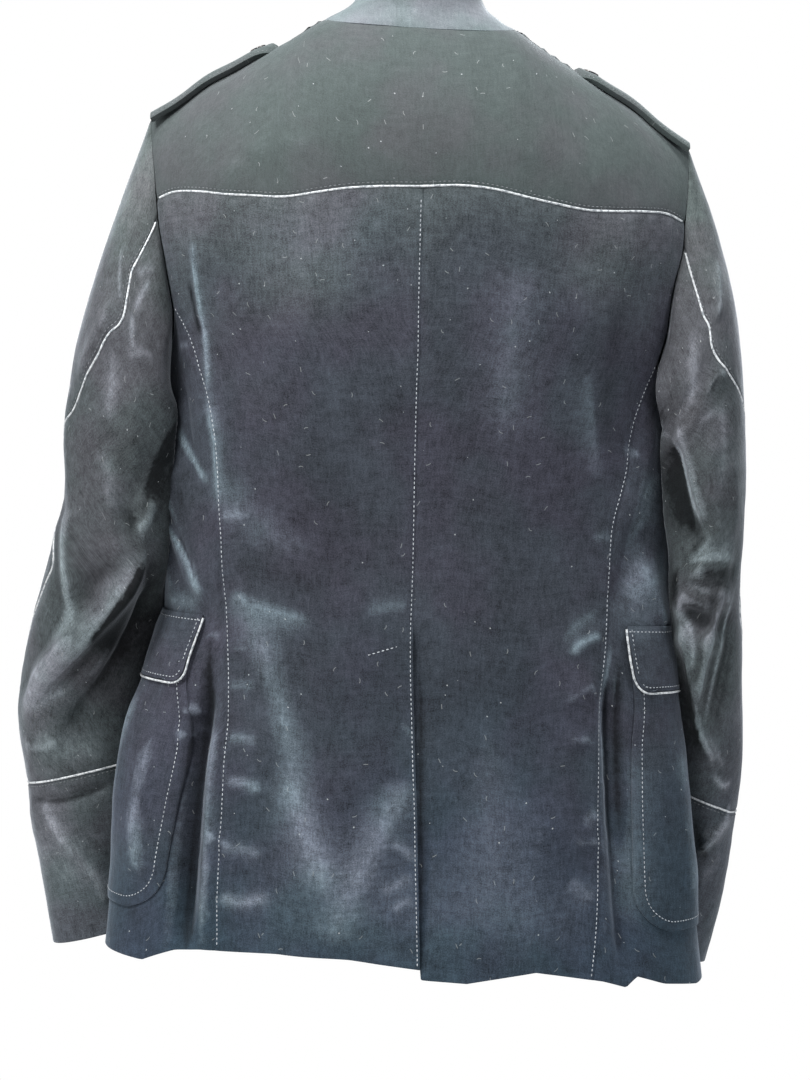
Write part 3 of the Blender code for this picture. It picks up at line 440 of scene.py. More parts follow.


# Strokes through three points each: where the pile has been brushed the other way, and painted
# highlights along fold edges and painted shadows beside folds and seams.
# A tone above 0 is paler and one below 0 is darker.
BODY_NAP_AND_PAINTED_LIGHT = table(
    "turn_a drop_a turn_b drop_b turn_c drop_c plus minus tone",
    """
    -0.47 472 -0.33 540 -0.25 622 13 8 0.6
    -0.29 588 -0.23 646 -0.18 702 9 11 0.8
    -0.495 466 -0.395 474 -0.235 484 4 11 0.62
    -0.01 598 -0.08 638 -0.14 694 11 12 0.5
    -0.11 666 -0.15 702 -0.175 738 12 12 0.4
    -0.51 404 -0.48 404 -0.435 402 3 3 0.7
    -0.53 369 -0.41 406 -0.205 434 16 18 0.26
    -0.495 436 -0.385 448 -0.195 454 10 10 -0.3
    -0.57 187 -0.585 251 -0.585 317 2.8 1.8 1.25
    -0.595 303 -0.55 353 -0.515 404 6 1.8 0.8
    -0.62 217 -0.61 243 -0.6 267 2.2 2.6 -1.3
    0.23 185 0.215 263 0.19 343 20 16 0.26
    0.42 267 0.44 321 0.46 367 4 9 0.3
    0.47 203 0.485 281 0.485 347 9 9 -0.4
    0.62 339 0.585 337 0.54 333 3 3 0.45
    0.505 406 0.47 404 0.44 408 3 3 0.4
    0.365 500 0.405 488 0.47 482 2.4 3 0.9
    0.35 492 0.395 474 0.47 464 3 5 0.4
    0.15 512 0.16 614 0.14 728 26 24 0.22
    0.37 534 0.37 612 0.37 690 8 8 -0.2
    0.38 638 0.41 624 0.44 630 5 6 0.4
    0.335 674 0.365 682 0.405 692 6 6 0.35
    -0.435 578 -0.395 578 -0.345 580 3 4 0.55
    -0.425 616 -0.38 612 -0.33 620 3 3.5 0.85
    -0.415 668 -0.375 664 -0.315 670 3 4 0.6
    -0.415 700 -0.36 706 -0.295 696 4 4 0.85
    -0.455 542 -0.42 536 -0.375 540 3 4 0.4
    -0.05 558 -0.03 562 -0.015 572 3 3 0.45
    -0.065 650 -0.035 656 -0.01 666 4 3 0.5
    -0.085 690 -0.05 684 -0.015 674 3 4 0.45
    -0.06 706 -0.035 698 -0.01 694 3 3 0.4
    -0.14 474 -0.075 468 -0.025 466 6 4 0.35
    -0.005 504 0 616 0 742 2.6 0.6 -1
    -0.765 337 -0.655 359 -0.545 383 3 2.6 1.15
    -0.97 387 -0.69 432 -0.585 478 2 4.5 1.25
    -0.855 410 -0.86 446 -0.945 474 6 1.4 0.85
    -1.025 349 -0.81 381 -0.725 420 3 6 -1.2
    -0.695 275 -0.75 299 -0.76 325 7 6 -0.6
    -0.745 277 -0.69 271 -0.665 275 2 2 0.5
    -0.95 476 -0.73 476 -0.59 478 6 5 0.45
    -0.565 486 -0.485 598 -0.46 752 2.6 3.4 -1.2
    -0.53 504 -0.455 598 -0.44 708 3 2 0.15
    -0.535 564 -0.51 560 -0.48 568 3 2.5 0.65
    -0.54 576 -0.51 574 -0.48 582 3 2.5 0.65
    -0.51 588 -0.49 584 -0.47 586 2.5 2.5 0.45
    0.57 458 0.675 438 1.045 430 12 12 0.5
    0.62 377 0.695 359 0.895 347 3 6 0.5
    0.61 398 0.66 408 0.71 424 12 10 -0.4
    0.695 279 0.71 307 0.76 335 5 6 -0.6
    0.5 486 0.475 538 0.475 604 1.4 3 0.6
    0.52 494 0.505 566 0.495 660 4.5 3.5 -1.2
    0.62 339 0.555 408 0.505 454 3 4 -0.2
    -0.565 504 -0.54 500 -0.51 502 2.5 2.5 0.5
    -0.405 157 -0.2 185 -0.045 153 30 30 0.12
    -0.5 530 0.0 540 0.5 530 55 60 -0.26
    -0.5 700 0.0 705 0.5 700 45 40 0.13
    0.66 330 0.62 420 0.60 500 15 15 0.3
    0.53 560 0.52 640 0.51 720 12 12 0.3
    -0.30 330 -0.24 400 -0.20 460 30 30 -0.2
    -0.74 330 -0.66 400 -0.64 470 16 14 -0.35
    -0.535 500 -0.52 610 -0.51 730 7 8 -0.45
    """,
)

SLEEVE_NAP_AND_PAINTED_LIGHT = side_tables(
    "angle_a along_a angle_b along_b angle_c along_c plus minus tone",
    """
    92 34 90 60 90 82 2.5 2.5 0.9
    90 80 93 98 99 114 2.6 3.4 0.95
    77 56 82 42 92 20 2.5 2.5 0.5
    94 126 104 108 121 80 2.6 2.6 0.5
    78 130 86 164 87 200 6 6 0.6
    80 216 93 240 100 282 8 8 0.3
    46 62 61 78 73 94 2 1.6 0.8
    22 72 31 98 43 134 9 9 -0.3
    122 276 126 284 132 292 2 2 0.65
    160 110 140 188 124 276 26 1.4 -1.5
    10 430 70 445 130 430 45 45 0.22
    0 575 70 580 140 575 45 45 0.34
    132 296 112 352 89 408 32 1.4 -1.5
    128 296 109 348 86 402 1.2 9 0.5
    29 272 57 330 81 394 3 1.2 1.15
    21 282 50 332 71 380 2 5 -0.6
    74 364 70 384 60 408 6 5 0.7
    63 412 52 436 40 456 8 8 0.75
    37 456 64 446 83 432 5 4 0.7
    141 342 127 404 103 454 30 26 -0.6
    44 476 76 484 116 486 10 8 0.4
    46 520 58 554 76 586 5 3.5 0.95
    103 532 106 572 104 612 12 12 -0.35
    56 606 78 598 94 606 8 8 0.2
    """,
    """
    160 70 148 108 134 152 2 2 0.7
    138 128 131 198 124 256 24 2 -1.1
    136 132 129 199 122 256 2 3 1.5
    135 140 126 206 110 260 1.4 1.8 1.1
    166 70 160 110 147 140 9 1.2 -1.2
    134 168 127 220 120 272 14 1 -1.5
    98 44 107 94 114 138 7 7 0.6
    40 52 50 76 69 94 5 4 0.45
    135 288 102 290 50 300 1.6 10 1
    115 298 89 302 49 306 8 0.8 -0.95
    134 304 112 314 90 320 2.5 2.5 0.75
    125 326 102 326 71 324 6 4 -0.8
    76 154 76 194 87 240 7 7 0.35
    126 340 116 358 115 386 4 2.4 1.25
    138 328 130 338 120 348 2 2.2 1
    114 386 102 430 76 476 1.2 1.6 0.75
    51 322 77 368 99 436 1.6 1.6 1
    56 356 71 398 88 440 1.2 6 -0.55
    129 356 114 408 92 470 15 0.9 -1.5
    81 472 66 482 50 476 3 3 1
    98 440 80 452 62 472 4 4 0.4
    41 508 66 530 86 540 5 5 1.05
    95 516 85 546 67 560 5 5 -1
    110 156 94 160 71 164 4 3 0.4
    118 166 108 210 101 252 7 8 -0.25
    108 266 121 272 129 280 3 4 -0.8
    100 268 112 278 126 282 2.5 2.5 0.55
    77 578 63 568 52 548 6 6 0.25
    145 288 144 312 135 332 9 1 -1.4
    """,
)


def smooth_step(value):
    value = np.clip(value, 0.0, 1.0)
    return value * value * (3.0 - 2.0 * value)


def along_curve(at, keys, values):
    """Values read from a smooth curve through a table's rows."""
    at = np.clip(at, keys[0], keys[-1])
    slopes = np.gradient(values, keys)
    row = np.clip(np.searchsorted(keys, at) - 1, 0, len(keys) - 2)
    step = keys[row + 1] - keys[row]
    t = (at - keys[row]) / step
    start = (2 * t**3 - 3 * t**2 + 1) * values[row] + (t**3 - 2 * t**2 + t) * step * slopes[row]
    end = (3 * t**2 - 2 * t**3) * values[row + 1] + (t**3 - t**2) * step * slopes[row + 1]
    return start + end


def size_at(sizes, column, at):
    """A column of a table, read from a smooth curve at places along its first column."""
    return along_curve(at, next(iter(sizes.values())), sizes[column])


def hump(distance, width):
    """1 where the distance is 0, falling softly to 0 on both sides."""
    return np.exp(-((distance / width) ** 2))


def superellipse(angle):
    """The sine and cosine of an angle, moved out to a rounded square of half width 1."""
    sine = np.sin(angle)
    cosine = np.cos(angle)
    reach = (np.abs(sine) ** CORNER + np.abs(cosine) ** CORNER) ** (-1.0 / CORNER)
    return sine * reach, cosine * reach


def half_width(turn, drop):
    left = size_at(BODY, "left", drop)
    right = size_at(BODY, "right", drop)
    return np.where(turn < 0, left, right)


def turn_at(across, drop, side, front=False):
    """The turn at which the body is a given distance from the middle, on one side."""
    sign = SIGN[side]
    share = np.minimum(np.abs(across) / half_width(sign, drop), 1.0)
    turn = np.arctan2(share, (1.0 - share**CORNER) ** (1.0 / CORNER)) / (math.pi / 2)
    turn = 2.0 - turn if front else turn
    return sign * turn * np.where(np.asarray(across) < 0, -1.0, 1.0)


def neck_arc(across):
    return np.sqrt(np.clip(1.0 - (across / NECK_HALF) ** 2, 0.0, 1.0))


def shoulder_drop(across):
    return size_at(SHOULDER, "drop", np.abs(across))


def top_drop(across, front):
    """The height of the neck seam and of the shoulder seam beside it."""
    dip = np.where(front, NECK_DIP["front"], NECK_DIP["back"])
    neck = NECK_SIDE_DROP + dip * neck_arc(across)
    return np.where(np.abs(across) < NECK_HALF, neck, shoulder_drop(across))


def smooth_body(turn, drop):
    """The body without its folds: points in millimetres, before the hang's tilt."""
    sine, cosine = superellipse(turn * math.pi / 2)
    across = half_width(turn, drop) * sine
    back = size_at(BODY, "back", drop)
    front = size_at(BODY, "front", drop)
    depth = -np.where(cosine > 0, back, front) * cosine
    in_front = np.abs(turn) > 1
    roll = np.where(in_front, SHOULDER_ROLL["front"], SHOULDER_ROLL["back"])
    below = np.clip((drop - shoulder_drop(across)) / roll, 0.0, 1.0)
    over_neck = 1.0 - smooth_step(np.abs(across) / SHOULDER_TIP)
    power = 0.5 + np.where(in_front, CHEST_EASE, 0.0) * over_neck
    rolled = (1.0 - (1.0 - below) ** 2) ** power
    depth = RIDGE_Y + (depth - RIDGE_Y) * rolled
    return np.stack([across, depth, -drop], axis=-1)


def unit(vectors):
    return vectors / np.maximum(np.linalg.norm(vectors, axis=-1, keepdims=True), 1e-9)


def normals_of(shape, turn, drop):
    around = shape(turn + 0.002, drop) - shape(turn - 0.002, drop)
    down = shape(turn, drop + 0.5) - shape(turn, drop - 0.5)
    return unit(np.cross(down, around))


def body_fold(turn, drop):
    """How far the folds lift the cloth at each point."""
    lift = np.zeros(np.broadcast(turn, drop).shape)
    columns = [BODY_FOLDS[name] for name in BODY_FOLDS]
    for top_turn, top, bottom_turn, bottom, width, rise in zip(*columns):
        down = (drop - top) / (bottom - top)
        line = top_turn + (bottom_turn - top_turn) * down
        ends = smooth_step(down / 0.22) * smooth_step((1.0 - down) / 0.22)
        lift = lift + rise * ends * hump(turn - line, width)
    return lift


def arc_table():
    """How far round the body each turn is from the centre back, at the waist."""
    turns = np.linspace(0.0, 2.1, 211)
    ring = smooth_body(turns, np.full_like(turns, WAIST_DROP))
    gaps = np.linalg.norm(np.diff(ring, axis=0), axis=1)
    return turns, np.concatenate([[0.0], np.cumsum(gaps)])


ARC_TURNS, ARC_LENGTHS = arc_table()


def across_of(turn):
    """A turn as millimetres of cloth from the centre back."""
    return np.sign(turn) * np.interp(np.abs(turn), ARC_TURNS, ARC_LENGTHS)


def turn_of(across):
    return np.sign(across) * np.interp(np.abs(across), ARC_LENGTHS, ARC_TURNS)


def knots_of(row, round_body):
    knots = np.array(row[:6], float).reshape(3, 2)
    if round_body:
        knots[:, 0] = across_of(knots[:, 0])
    return knots


def crease_lift(creases, across, down, round_body):
    """How far a table's creases lift the cloth, at places in millimetres across and down."""
    lift = np.zeros(np.shape(across))
    for row in zip(*[creases[name] for name in creases]):
        knots = knots_of(row, round_body)
        share = np.linspace(0.0, 1.0, CREASE_STEPS + 1)[:, None]
        path = knots[0] * (1 - share) * (1 - 2 * share) + knots[1] * 4 * share * (1 - share)
        path = path + knots[2] * share * (2 * share - 1)
        plus, minus, rise = row[6:]
        reach = 2.6 * max(plus, minus)
        low = path.min(axis=0) - reach
        high = path.max(axis=0) + reach
        close = (across > low[0]) & (across < high[0]) & (down > low[1]) & (down < high[1])
        if not close.any():
            continue
        places = np.stack([across[close], down[close]], axis=-1)
        best = np.full(len(places), 1e9)
        along = np.zeros(len(places))
        side = np.zeros(len(places))
        for step, (start, end) in enumerate(zip(path, path[1:])):
            run = end - start
            t = np.clip(((places - start) @ run) / (run @ run), 0.0, 1.0)
            off = places - start - t[:, None] * run
            far = np.hypot(off[:, 0], off[:, 1])
            nearer = far < best
            best = np.where(nearer, far, best)
            along = np.where(nearer, (step + t) / CREASE_STEPS, along)
            side = np.where(nearer, off[:, 0] * run[1] - off[:, 1] * run[0], side)
        width = np.where(side > 0, plus, minus)
        ends = smooth_step(along / 0.25) * smooth_step((1.0 - along) / 0.25)
        lift[close] += rise * ends * np.exp(-((best / width) ** CREASE_EDGE))
    return lift


def waver(across, down, size, seed):
    """Soft uneven waves between -1 and 1, of a size in millimetres, the same on every run."""
    total = 0.0
    for number in range(4):
        angle = seed * 1.7 + number * 2.4
        way = across * math.cos(angle) + down * math.sin(angle)
        total = total + np.sin(2 * math.pi * way / (size * (0.7 + 0.25 * number)) + seed * 1.3)
    return total / 4.0


def body_relief(turn, drop):
    """All that lifts the body's cloth off its plain form."""
    across = across_of(turn)
    lift = body_fold(turn, drop) + CREASE_RISE * crease_lift(BODY_CREASES, across, drop, True)
    for height, size, seed, share in BODY_WAVES:
        lift = lift + height * waver(across, drop * share, size, seed)
    below = drop - shoulder_drop(smooth_body(turn, drop)[..., 0])
    return lift * smooth_step(below / 25.0)


def body_nap_and_painted_light(turn, drop):
    """How much paler or darker the body is painted, by brushed pile and by painted fold highlights
    and shadows, the front like the back.
    """
    behind = np.abs(turn) < 1.0
    at = np.where(behind, turn, -np.sign(turn) * (2.0 - np.abs(turn)))
    down = drop + np.where(behind, 0.0, FRONT_NAP_AND_LIGHT_LOWER["body"])
    tone = crease_lift(BODY_NAP_AND_PAINTED_LIGHT, across_of(at), down, True)
    return tone * np.where(behind, 1.0, FRONT_NAP_AND_LIGHT_SHARE)


def sleeve_nap_and_painted_light(angle, along, side):
    """The same for a sleeve. Its front is painted like the back of the other sleeve."""
    around = (angle + 60.0) % 360.0 - 60.0
    other = "right" if side == "left" else "left"
    behind = crease_lift(SLEEVE_NAP_AND_PAINTED_LIGHT[side], around, along, False)
    lower = along + FRONT_NAP_AND_LIGHT_LOWER["sleeve"]
    before = crease_lift(SLEEVE_NAP_AND_PAINTED_LIGHT[other], SLEEVE_MIRROR - around, lower, False)
    share = smooth_step((around - SLEEVE_FRONT_FROM) / 16.0)
    return behind * (1.0 - share) + FRONT_NAP_AND_LIGHT_SHARE * before * share


def body(turn, drop):
    turn, drop = np.broadcast_arrays(np.asarray(turn, float), np.asarray(drop, float))
    normal = normals_of(smooth_body, turn, drop)
    return smooth_body(turn, drop) + normal * body_relief(turn, drop)[..., None]


def body_normals(turn, drop):
    """The body's normals. On the shoulder seam, those of the back and the front together."""
    turn, drop = np.broadcast_arrays(np.asarray(turn, float), np.asarray(drop, float))
    normal = normals_of(body, turn, drop)
    across = smooth_body(turn, drop)[..., 0]
    on_seam = (drop - top_drop(across, False) < 0.01) & (np.abs(across) > NECK_HALF - 0.01)
    other = normals_of(body, np.sign(turn) * (2.0 - np.abs(turn)), drop)
    return np.where(on_seam[..., None], unit(normal + other), normal)


def hang(points):
    """The tilt of the whole garment, and the change to metres."""
    points = np.array(points, float)
    points[..., 2] -= TILT * points[..., 0]
    return points * MM


def grid_normals(points):
    """The directions across a grid's cloth."""
    return unit(np.cross(np.gradient(points, axis=0), np.gradient(points, axis=1)))


def facing(points, outward):
    """A grid's normals, all on the side that outward points to."""
    normals = grid_normals(points)
    return normals * np.where((normals * outward).sum(axis=-1, keepdims=True) < 0, -1.0, 1.0)


def sheet(turn, drop):
    """A grid on the body: its points, its normals, and its relief and its painted tone of brushed
    pile and fold light and shade together.
    """
    points = body(turn, drop)
    lie = np.stack([body_relief(turn, drop), body_nap_and_painted_light(turn, drop)], axis=-1)
    return points, facing(points, normals_of(smooth_body, turn, drop)), lie


def seam_frame(loop, normals, outward_sign, closed=True):
    """The direction off the cloth's edge, in the cloth, at each point of an edge."""
    if closed:
        tangent = np.roll(loop, -1, axis=0) - np.roll(loop, 1, axis=0)
    else:
        tangent = np.gradient(loop, axis=0)
    return unit(np.cross(normals, tangent)) * outward_sign


def hem_drop(turn):
    return np.interp(turn, HEM["turn"], HEM["drop"])


def yoke_drop(across, side):
    return size_at(YOKE_SEAM, side, np.abs(across))


def seam_turn(drop, column, side):
    """The turn of one of the seams that run down the back."""
    across = size_at(BACK_SEAMS, column, drop)
    if column == "centre":
        return np.sign(across) * turn_at(np.abs(across), drop, "right")
    return turn_at(across, drop, side)


def armhole_turn(drop, side, front):
    column = "front" if front else "back_" + side
    across = size_at(ARMHOLE, column, drop)
    return turn_at(across, drop, side, front)


BACK_CELLS = 10
NECK_CELLS = 5
FOLD_CELLS = 4
SIDE_CELLS = 5
POCKET_FRONT_CELLS = 2
FRONT_CELLS = 7
STEP = 3.0  # the usual size of a square of the cloth's mesh
FRONT_STEP = 4.2
NEAR_SEAM = np.array([0.0, 0.9, 2.0, 3.8])
SHORT_STRETCH = 16.0
SHORT_STEP = 2.5


def graded(length, step=STEP):
    """Shares from 0 to 1, evenly spaced but closer together next to both ends."""
    if length < SHORT_STRETCH:
        return np.linspace(0.0, 1.0, max(2, round(length / SHORT_STEP)) + 1)
    cells = max(1, round((length - 2 * NEAR_SEAM[-1]) / step))
    middle = np.linspace(NEAR_SEAM[-1], length - NEAR_SEAM[-1], cells + 1)
    return np.concatenate([NEAR_SEAM[:-1], middle, length - NEAR_SEAM[-2::-1]]) / length


def spans(*stretches, step=STEP):
    """Places in order from several (start, end, length) stretches, graded next to each end."""
    parts = []
    for start, end, length in stretches:
        part = start + (end - start) * graded(length, step)
        parts.append(part if not parts else part[1:])
    return np.concatenate(parts)


def level(row, turn):
    """The drop of a body row at a turn: the two sides differ a little."""
    rows = np.arange(LAST + 1)
    left = np.interp(row, rows, LEVELS["left"])
    right = np.interp(row, rows, LEVELS["right"])
    lean = np.clip(turn / 0.5, -1.0, 1.0)
    return (left + right) / 2 + (right - left) / 2 * lean


def to_hem(drop, row, turn):
    """The lowest stretch of the cloth, drawn down or up to the hem's own line."""
    plain = level(np.full_like(drop, float(LAST)), turn)
    return drop + smooth_step((row - (LAST - 2)) / 2.0) * (hem_drop(turn) - plain)


def rows_between(side, *stops, step=STEP):
    """Body rows from stop to stop, graded next to each stop."""
    drops = [LEVELS[side][stop] for stop in stops]
    pairs = zip(stops, stops[1:], drops, drops[1:])
    return spans(*[(float(a), float(b), high - low) for a, b, low, high in pairs], step=step)


def back_rows_of(side):
    return rows_between(side, 0, 1, CORNER_ROW[side], VENT_ROW - 1, VENT_ROW, LAST)


def back_grid(side, rows, share):
    """Turns and drops of one half of the back, from the centre seam out, row by row."""
    sign = SIGN[side]
    first = np.clip(rows, 0.0, 1.0)
    middle = level(np.maximum(rows, 1.0), 0.0) * first + YOKE_SEAM[side][0] * (1 - first)
    outer_drop = level(np.maximum(rows, 1.0), sign) * first + YOKE_SEAM[side][-1] * (1 - first)
    centre = seam_turn(middle, "centre", side)
    armhole = armhole_turn(outer_drop, side, False)
    outer = np.where(rows <= CORNER_ROW[side], armhole, seam_turn(outer_drop, side, side))
    turn = centre[:, None] * (1.0 - share) + outer[:, None] * share
    down = rows[:, None] + 0.0 * turn
    top = np.full_like(turn, YOKE_SEAM[side][0])
    for _ in range(5):
        top = yoke_drop(smooth_body(turn, top)[..., 0], side)
    drop = level(np.maximum(down, 1.0), turn)
    drop = np.where(down < 1, top * (1 - down) + drop * down, drop)
    return turn, to_hem(drop, down, turn)


def yoke_half(side, rows, columns):
    """Half of the yoke, from its middle to the armhole, by the columns of the back below it."""
    low_turn, low_drop = back_grid(side, np.zeros(1), columns / BACK_CELLS)
    at_neck = NECK_HALF * np.sin(np.clip(columns / NECK_CELLS, 0.0, 1.0) * math.pi / 2)
    past = (columns - NECK_CELLS) / (BACK_CELLS - NECK_CELLS)
    across = np.where(columns <= NECK_CELLS, at_neck, NECK_HALF + (SHOULDER_TIP - NECK_HALF) * past)
    top = top_drop(across, False)
    top_turn = turn_at(across, top, side)
    share = rows[:, None]
    turn = top_turn + (low_turn - top_turn) * share
    drop = top + (low_drop - top) * share**ROW_CROWDING
    shift = armhole_turn(drop[:, -1:], side, False) - turn[:, -1:]
    return turn + shift * np.clip(columns - BACK_CELLS + 1, 0.0, 1.0), drop


def front_edge(side, rows):
    """The turn of a front's outer edge: the armhole, and below it the side front seam."""
    sign = SIGN[side]
    corner = CORNER_ROW[side]
    armhole = np.abs(armhole_turn(level(rows, sign), side, True))
    start = np.abs(armhole_turn(level(float(corner), sign), side, True))
    below = SIDE_FRONT_TURN + (start - SIDE_FRONT_TURN) * (1 - smooth_step(rows - corner))
    return np.where(rows <= corner, armhole, below)


def front_grid(side, top_rows, rows, columns):
    """One front, from the armhole to past the centre, shoulder to hem."""
    sign = SIGN[side]
    last = POCKET_FRONT_CELLS + FRONT_CELLS
    edge = front_edge(side, rows)[:, None]
    low = level(rows, sign)[:, None]
    past = 2.0 + FRONT_OVERLAP / (half_width(sign, low) * math.pi / 2)
    pocket = edge + (POCKET_FRONT_TURN - edge) * columns / POCKET_FRONT_CELLS
    chest = (columns - POCKET_FRONT_CELLS) / FRONT_CELLS
    turn = POCKET_FRONT_TURN + (2.0 - POCKET_FRONT_TURN) * chest
    turn = np.where(columns < POCKET_FRONT_CELLS, pocket, turn)
    turn = np.where(columns > last, 2.0 + (past - 2.0) * (columns - last), turn)
    down = rows[:, None] + 0.0 * turn
    drop = to_hem(level(down, np.full_like(turn, sign)), down, sign * np.minimum(turn, 2.0))

    shoulder_cells = last - NECK_CELLS
    angle = (1.0 - (columns - shoulder_cells) / NECK_CELLS) * math.pi / 2
    at_neck = NECK_HALF * np.sin(np.clip(angle, 0.0, math.pi / 2))
    shoulder = SHOULDER_TIP + (NECK_HALF - SHOULDER_TIP) * columns / shoulder_cells
    across = np.where(columns < shoulder_cells, shoulder, at_neck)
    across = np.where(columns > last, -FRONT_OVERLAP * (columns - last), across)
    top = top_drop(across, True)
    top_turn = np.abs(turn_at(np.abs(across), top, side, True))
    top_turn = np.where(across < 0, 4.0 - top_turn, top_turn)
    share = top_rows[:-1, None]
    high_turn = top_turn + (turn[0] - top_turn) * share
    high_drop = top + (drop[0] - top) * share**ROW_CROWDING
    shift = np.abs(armhole_turn(high_drop[:, :1], side, True)) - high_turn[:, :1]
    high_turn = high_turn + shift * np.clip(1.0 - columns, 0.0, 1.0)
    return sign * np.concatenate([high_turn, turn]), np.concatenate([high_drop, drop])


def pocket_turn(side, drop):
    across = size_at(POCKET_EDGE, side, drop)
    return np.abs(turn_at(across, drop, side))


def side_grid(side, rows, columns):
    """The side piece under the arm, from the back seam round to the front seam."""
    sign = SIGN[side]
    back_turn, back_drop = back_grid(side, rows, np.ones(1))
    back = np.abs(back_turn)
    front = front_edge(side, rows)[:, None]
    pocket = pocket_turn(side, back_drop)
    behind = back + (pocket - back) * columns / FOLD_CELLS
    before = pocket + (front - pocket) * (columns - FOLD_CELLS) / SIDE_CELLS
    turn = np.where(columns < FOLD_CELLS, behind, before)
    share = (turn[0] - turn[0, 0]) / (turn[0, -1] - turn[0, 0])
    dip = (UNDERARM_DROP - back_drop[0, 0]) * np.sin(math.pi * np.clip(share, 0.0, 1.0)) ** 0.75
    down = rows[:, None] + 0.0 * turn
    drop = level(down, np.full_like(turn, sign))
    flap = level(float(FLAP_TOP), sign)
    ease = np.clip((drop - drop[0]) / (flap - drop[0]), 0.0, 1.0)
    drop = drop + dip * (1.0 - ease)
    return sign * turn, to_hem(drop, down, sign * turn)


def layer_under(clear, covered, ramp):
    """How far a lapped edge lies below the piece that covers it."""
    return -(CLOTH + LAP_GAP) * (1.0 - smooth_step((clear - covered) / ramp))


def lengths_along(points, axis):
    """Distances along a grid's lines, in millimetres."""
    gaps = np.linalg.norm(np.diff(points, axis=axis), axis=-1)
    pad = [(1, 0) if at == axis else (0, 0) for at in range(2)]
    return np.cumsum(np.pad(gaps, pad), axis=axis)


def both_lengths(points):
    return lengths_along(points, 1), lengths_along(points, 0)


def far_from(points, edge):
    """How far each point of a grid is from one of its edges."""
    axis = 0 if edge in ("top", "bottom") else 1
    run = lengths_along(points, axis)
    if edge in ("top", "start"):
        return run
    return (run[-1:] if axis == 0 else run[:, -1:]) - run


def raised(grid, height):
    points, normals, lie = grid
    height = np.asarray(height)[..., None]
    return points + normals * height, normals, lie + height * np.array([1.0, 0.0])


def dipped(grid, *edges, depth=SEAM_SINK, reach=SEAM_REACH):
    """The cloth drawn in beside its seams, as stitching pulls it."""
    sunk = np.zeros(grid[0].shape[:2])
    for edge in edges:
        sunk = np.maximum(sunk, hump(far_from(grid[0], edge), reach))
    return raised(grid, -depth * sunk)


def puckered(grid, edge, amount, size, seed=4.0):
    """Small uneven puckers across the cloth beside one of its seams."""
    points = grid[0]
    far = far_from(points, edge)
    down = lengths_along(points, 1 if edge in ("top", "bottom") else 0)
    some = 0.55 + 0.45 * waver(0 * down, down, 190.0, seed + 2)
    wave = waver(far * 0.35, down, size, seed) * some
    lift = amount * wave * hump(far, 15.0) * (1 - hump(far, 3.0))
    return raised(grid, lift)


def across_grid(grid):
    """The same grid with its rows as columns."""
    return tuple(np.swapaxes(part, 0, 1) for part in grid)


def flipped(grid):
    return tuple(part[:, ::-1] for part in grid)


# Making the pieces.


def softened(values, passes=14):
    """A grid of values, blurred over about a fold's width."""
    for _ in range(passes):
        for axis in (0, 1):
            wide = np.pad(values, [(1, 1) if at == axis else (0, 0) for at in (0, 1)], "edge")
            before, after = (wide[:-2], wide[2:]) if axis == 0 else (wide[:, :-2], wide[:, 2:])
            values = (before + 2 * values + after) / 4
    return values


def shaped_grid(name, grid):
    """One sheet of cloth through a grid of points, facing outwards, with its cut as UV map."""
    points, outward, lie = grid
    across = points[:-1, 1:] - points[:-1, :-1]
    down = points[1:, :-1] - points[:-1, :-1]
    if (np.cross(down, across) * outward[:-1, :-1]).sum() < 0:
        points, outward, lie = flipped(grid)
    rows, columns = points.shape[:2]
    shape = bmesh.new()
    bmesh.ops.create_grid(shape, x_segments=columns - 1, y_segments=rows - 1, size=0.5)
    mesh = mesh_of(name, shape)
    at = np.empty(rows * columns * 3, np.float32)
    mesh.vertices.foreach_get("co", at)
    at = at.reshape(-1, 3)
    column = np.rint((at[:, 0] + 0.5) * (columns - 1)).astype(int)
    row = np.rint((0.5 - at[:, 1]) * (rows - 1)).astype(int)
    mesh.vertices.foreach_set("co", hang(points)[row, column].astype(np.float32).ravel())
    # How sharp the folds are, which the velvet turns into painted highlights on crests and painted
    # shade in hollows, and the painted stroke tone.
    sharp = lie[..., 0] - softened(lie[..., 0])
    for kind, values in (("crest", sharp), ("brushed_and_painted_light", lie[..., 1])):
        kept = mesh.attributes.new(kind, "FLOAT", "POINT")
        kept.data.foreach_set("value", values[row, column].astype(np.float32).ravel())
    wide = lengths_along(points, 1)
    wide = wide - wide[:, columns // 2, None]
    cut = np.stack([wide, -lengths_along(points, 0)], axis=-1)[row, column] * MM
    corner = np.empty(len(mesh.loops), np.int32)
    mesh.loops.foreach_get("vertex_index", corner)
    layer = mesh.uv_layers.new(name="cut")
    layer.uv.foreach_set("vector", cut[corner].astype(np.float32).ravel())
    mesh.update()
    return mesh


def mesh_of(name, shape):
    """A mesh of what a bmesh holds, which is then let go."""
    mesh = bpy.data.meshes.new(name)
    shape.to_mesh(mesh)
    shape.free()
    return mesh


def placed(name, mesh):
    piece = bpy.data.objects.new(name, mesh)
    bpy.context.scene.collection.objects.link(piece)
    return piece


def as_made(piece):
    """The mesh of a piece with its modifiers or its curve worked out."""
    graph = bpy.context.evaluated_depsgraph_get()
    return bpy.data.meshes.new_from_object(
        piece.evaluated_get(graph), preserve_all_data_layers=True, depsgraph=graph
    )


def finished(piece, finishes, replaced):
    """Gives a piece its materials and its body, and hides the imported part that it stands for."""
    piece.data.materials.clear()
    for finish in finishes:
        piece.data.materials.append(finish)
    piece.data.shade_smooth()
    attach(piece, "root")
    if replaced:
        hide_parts(replaced)


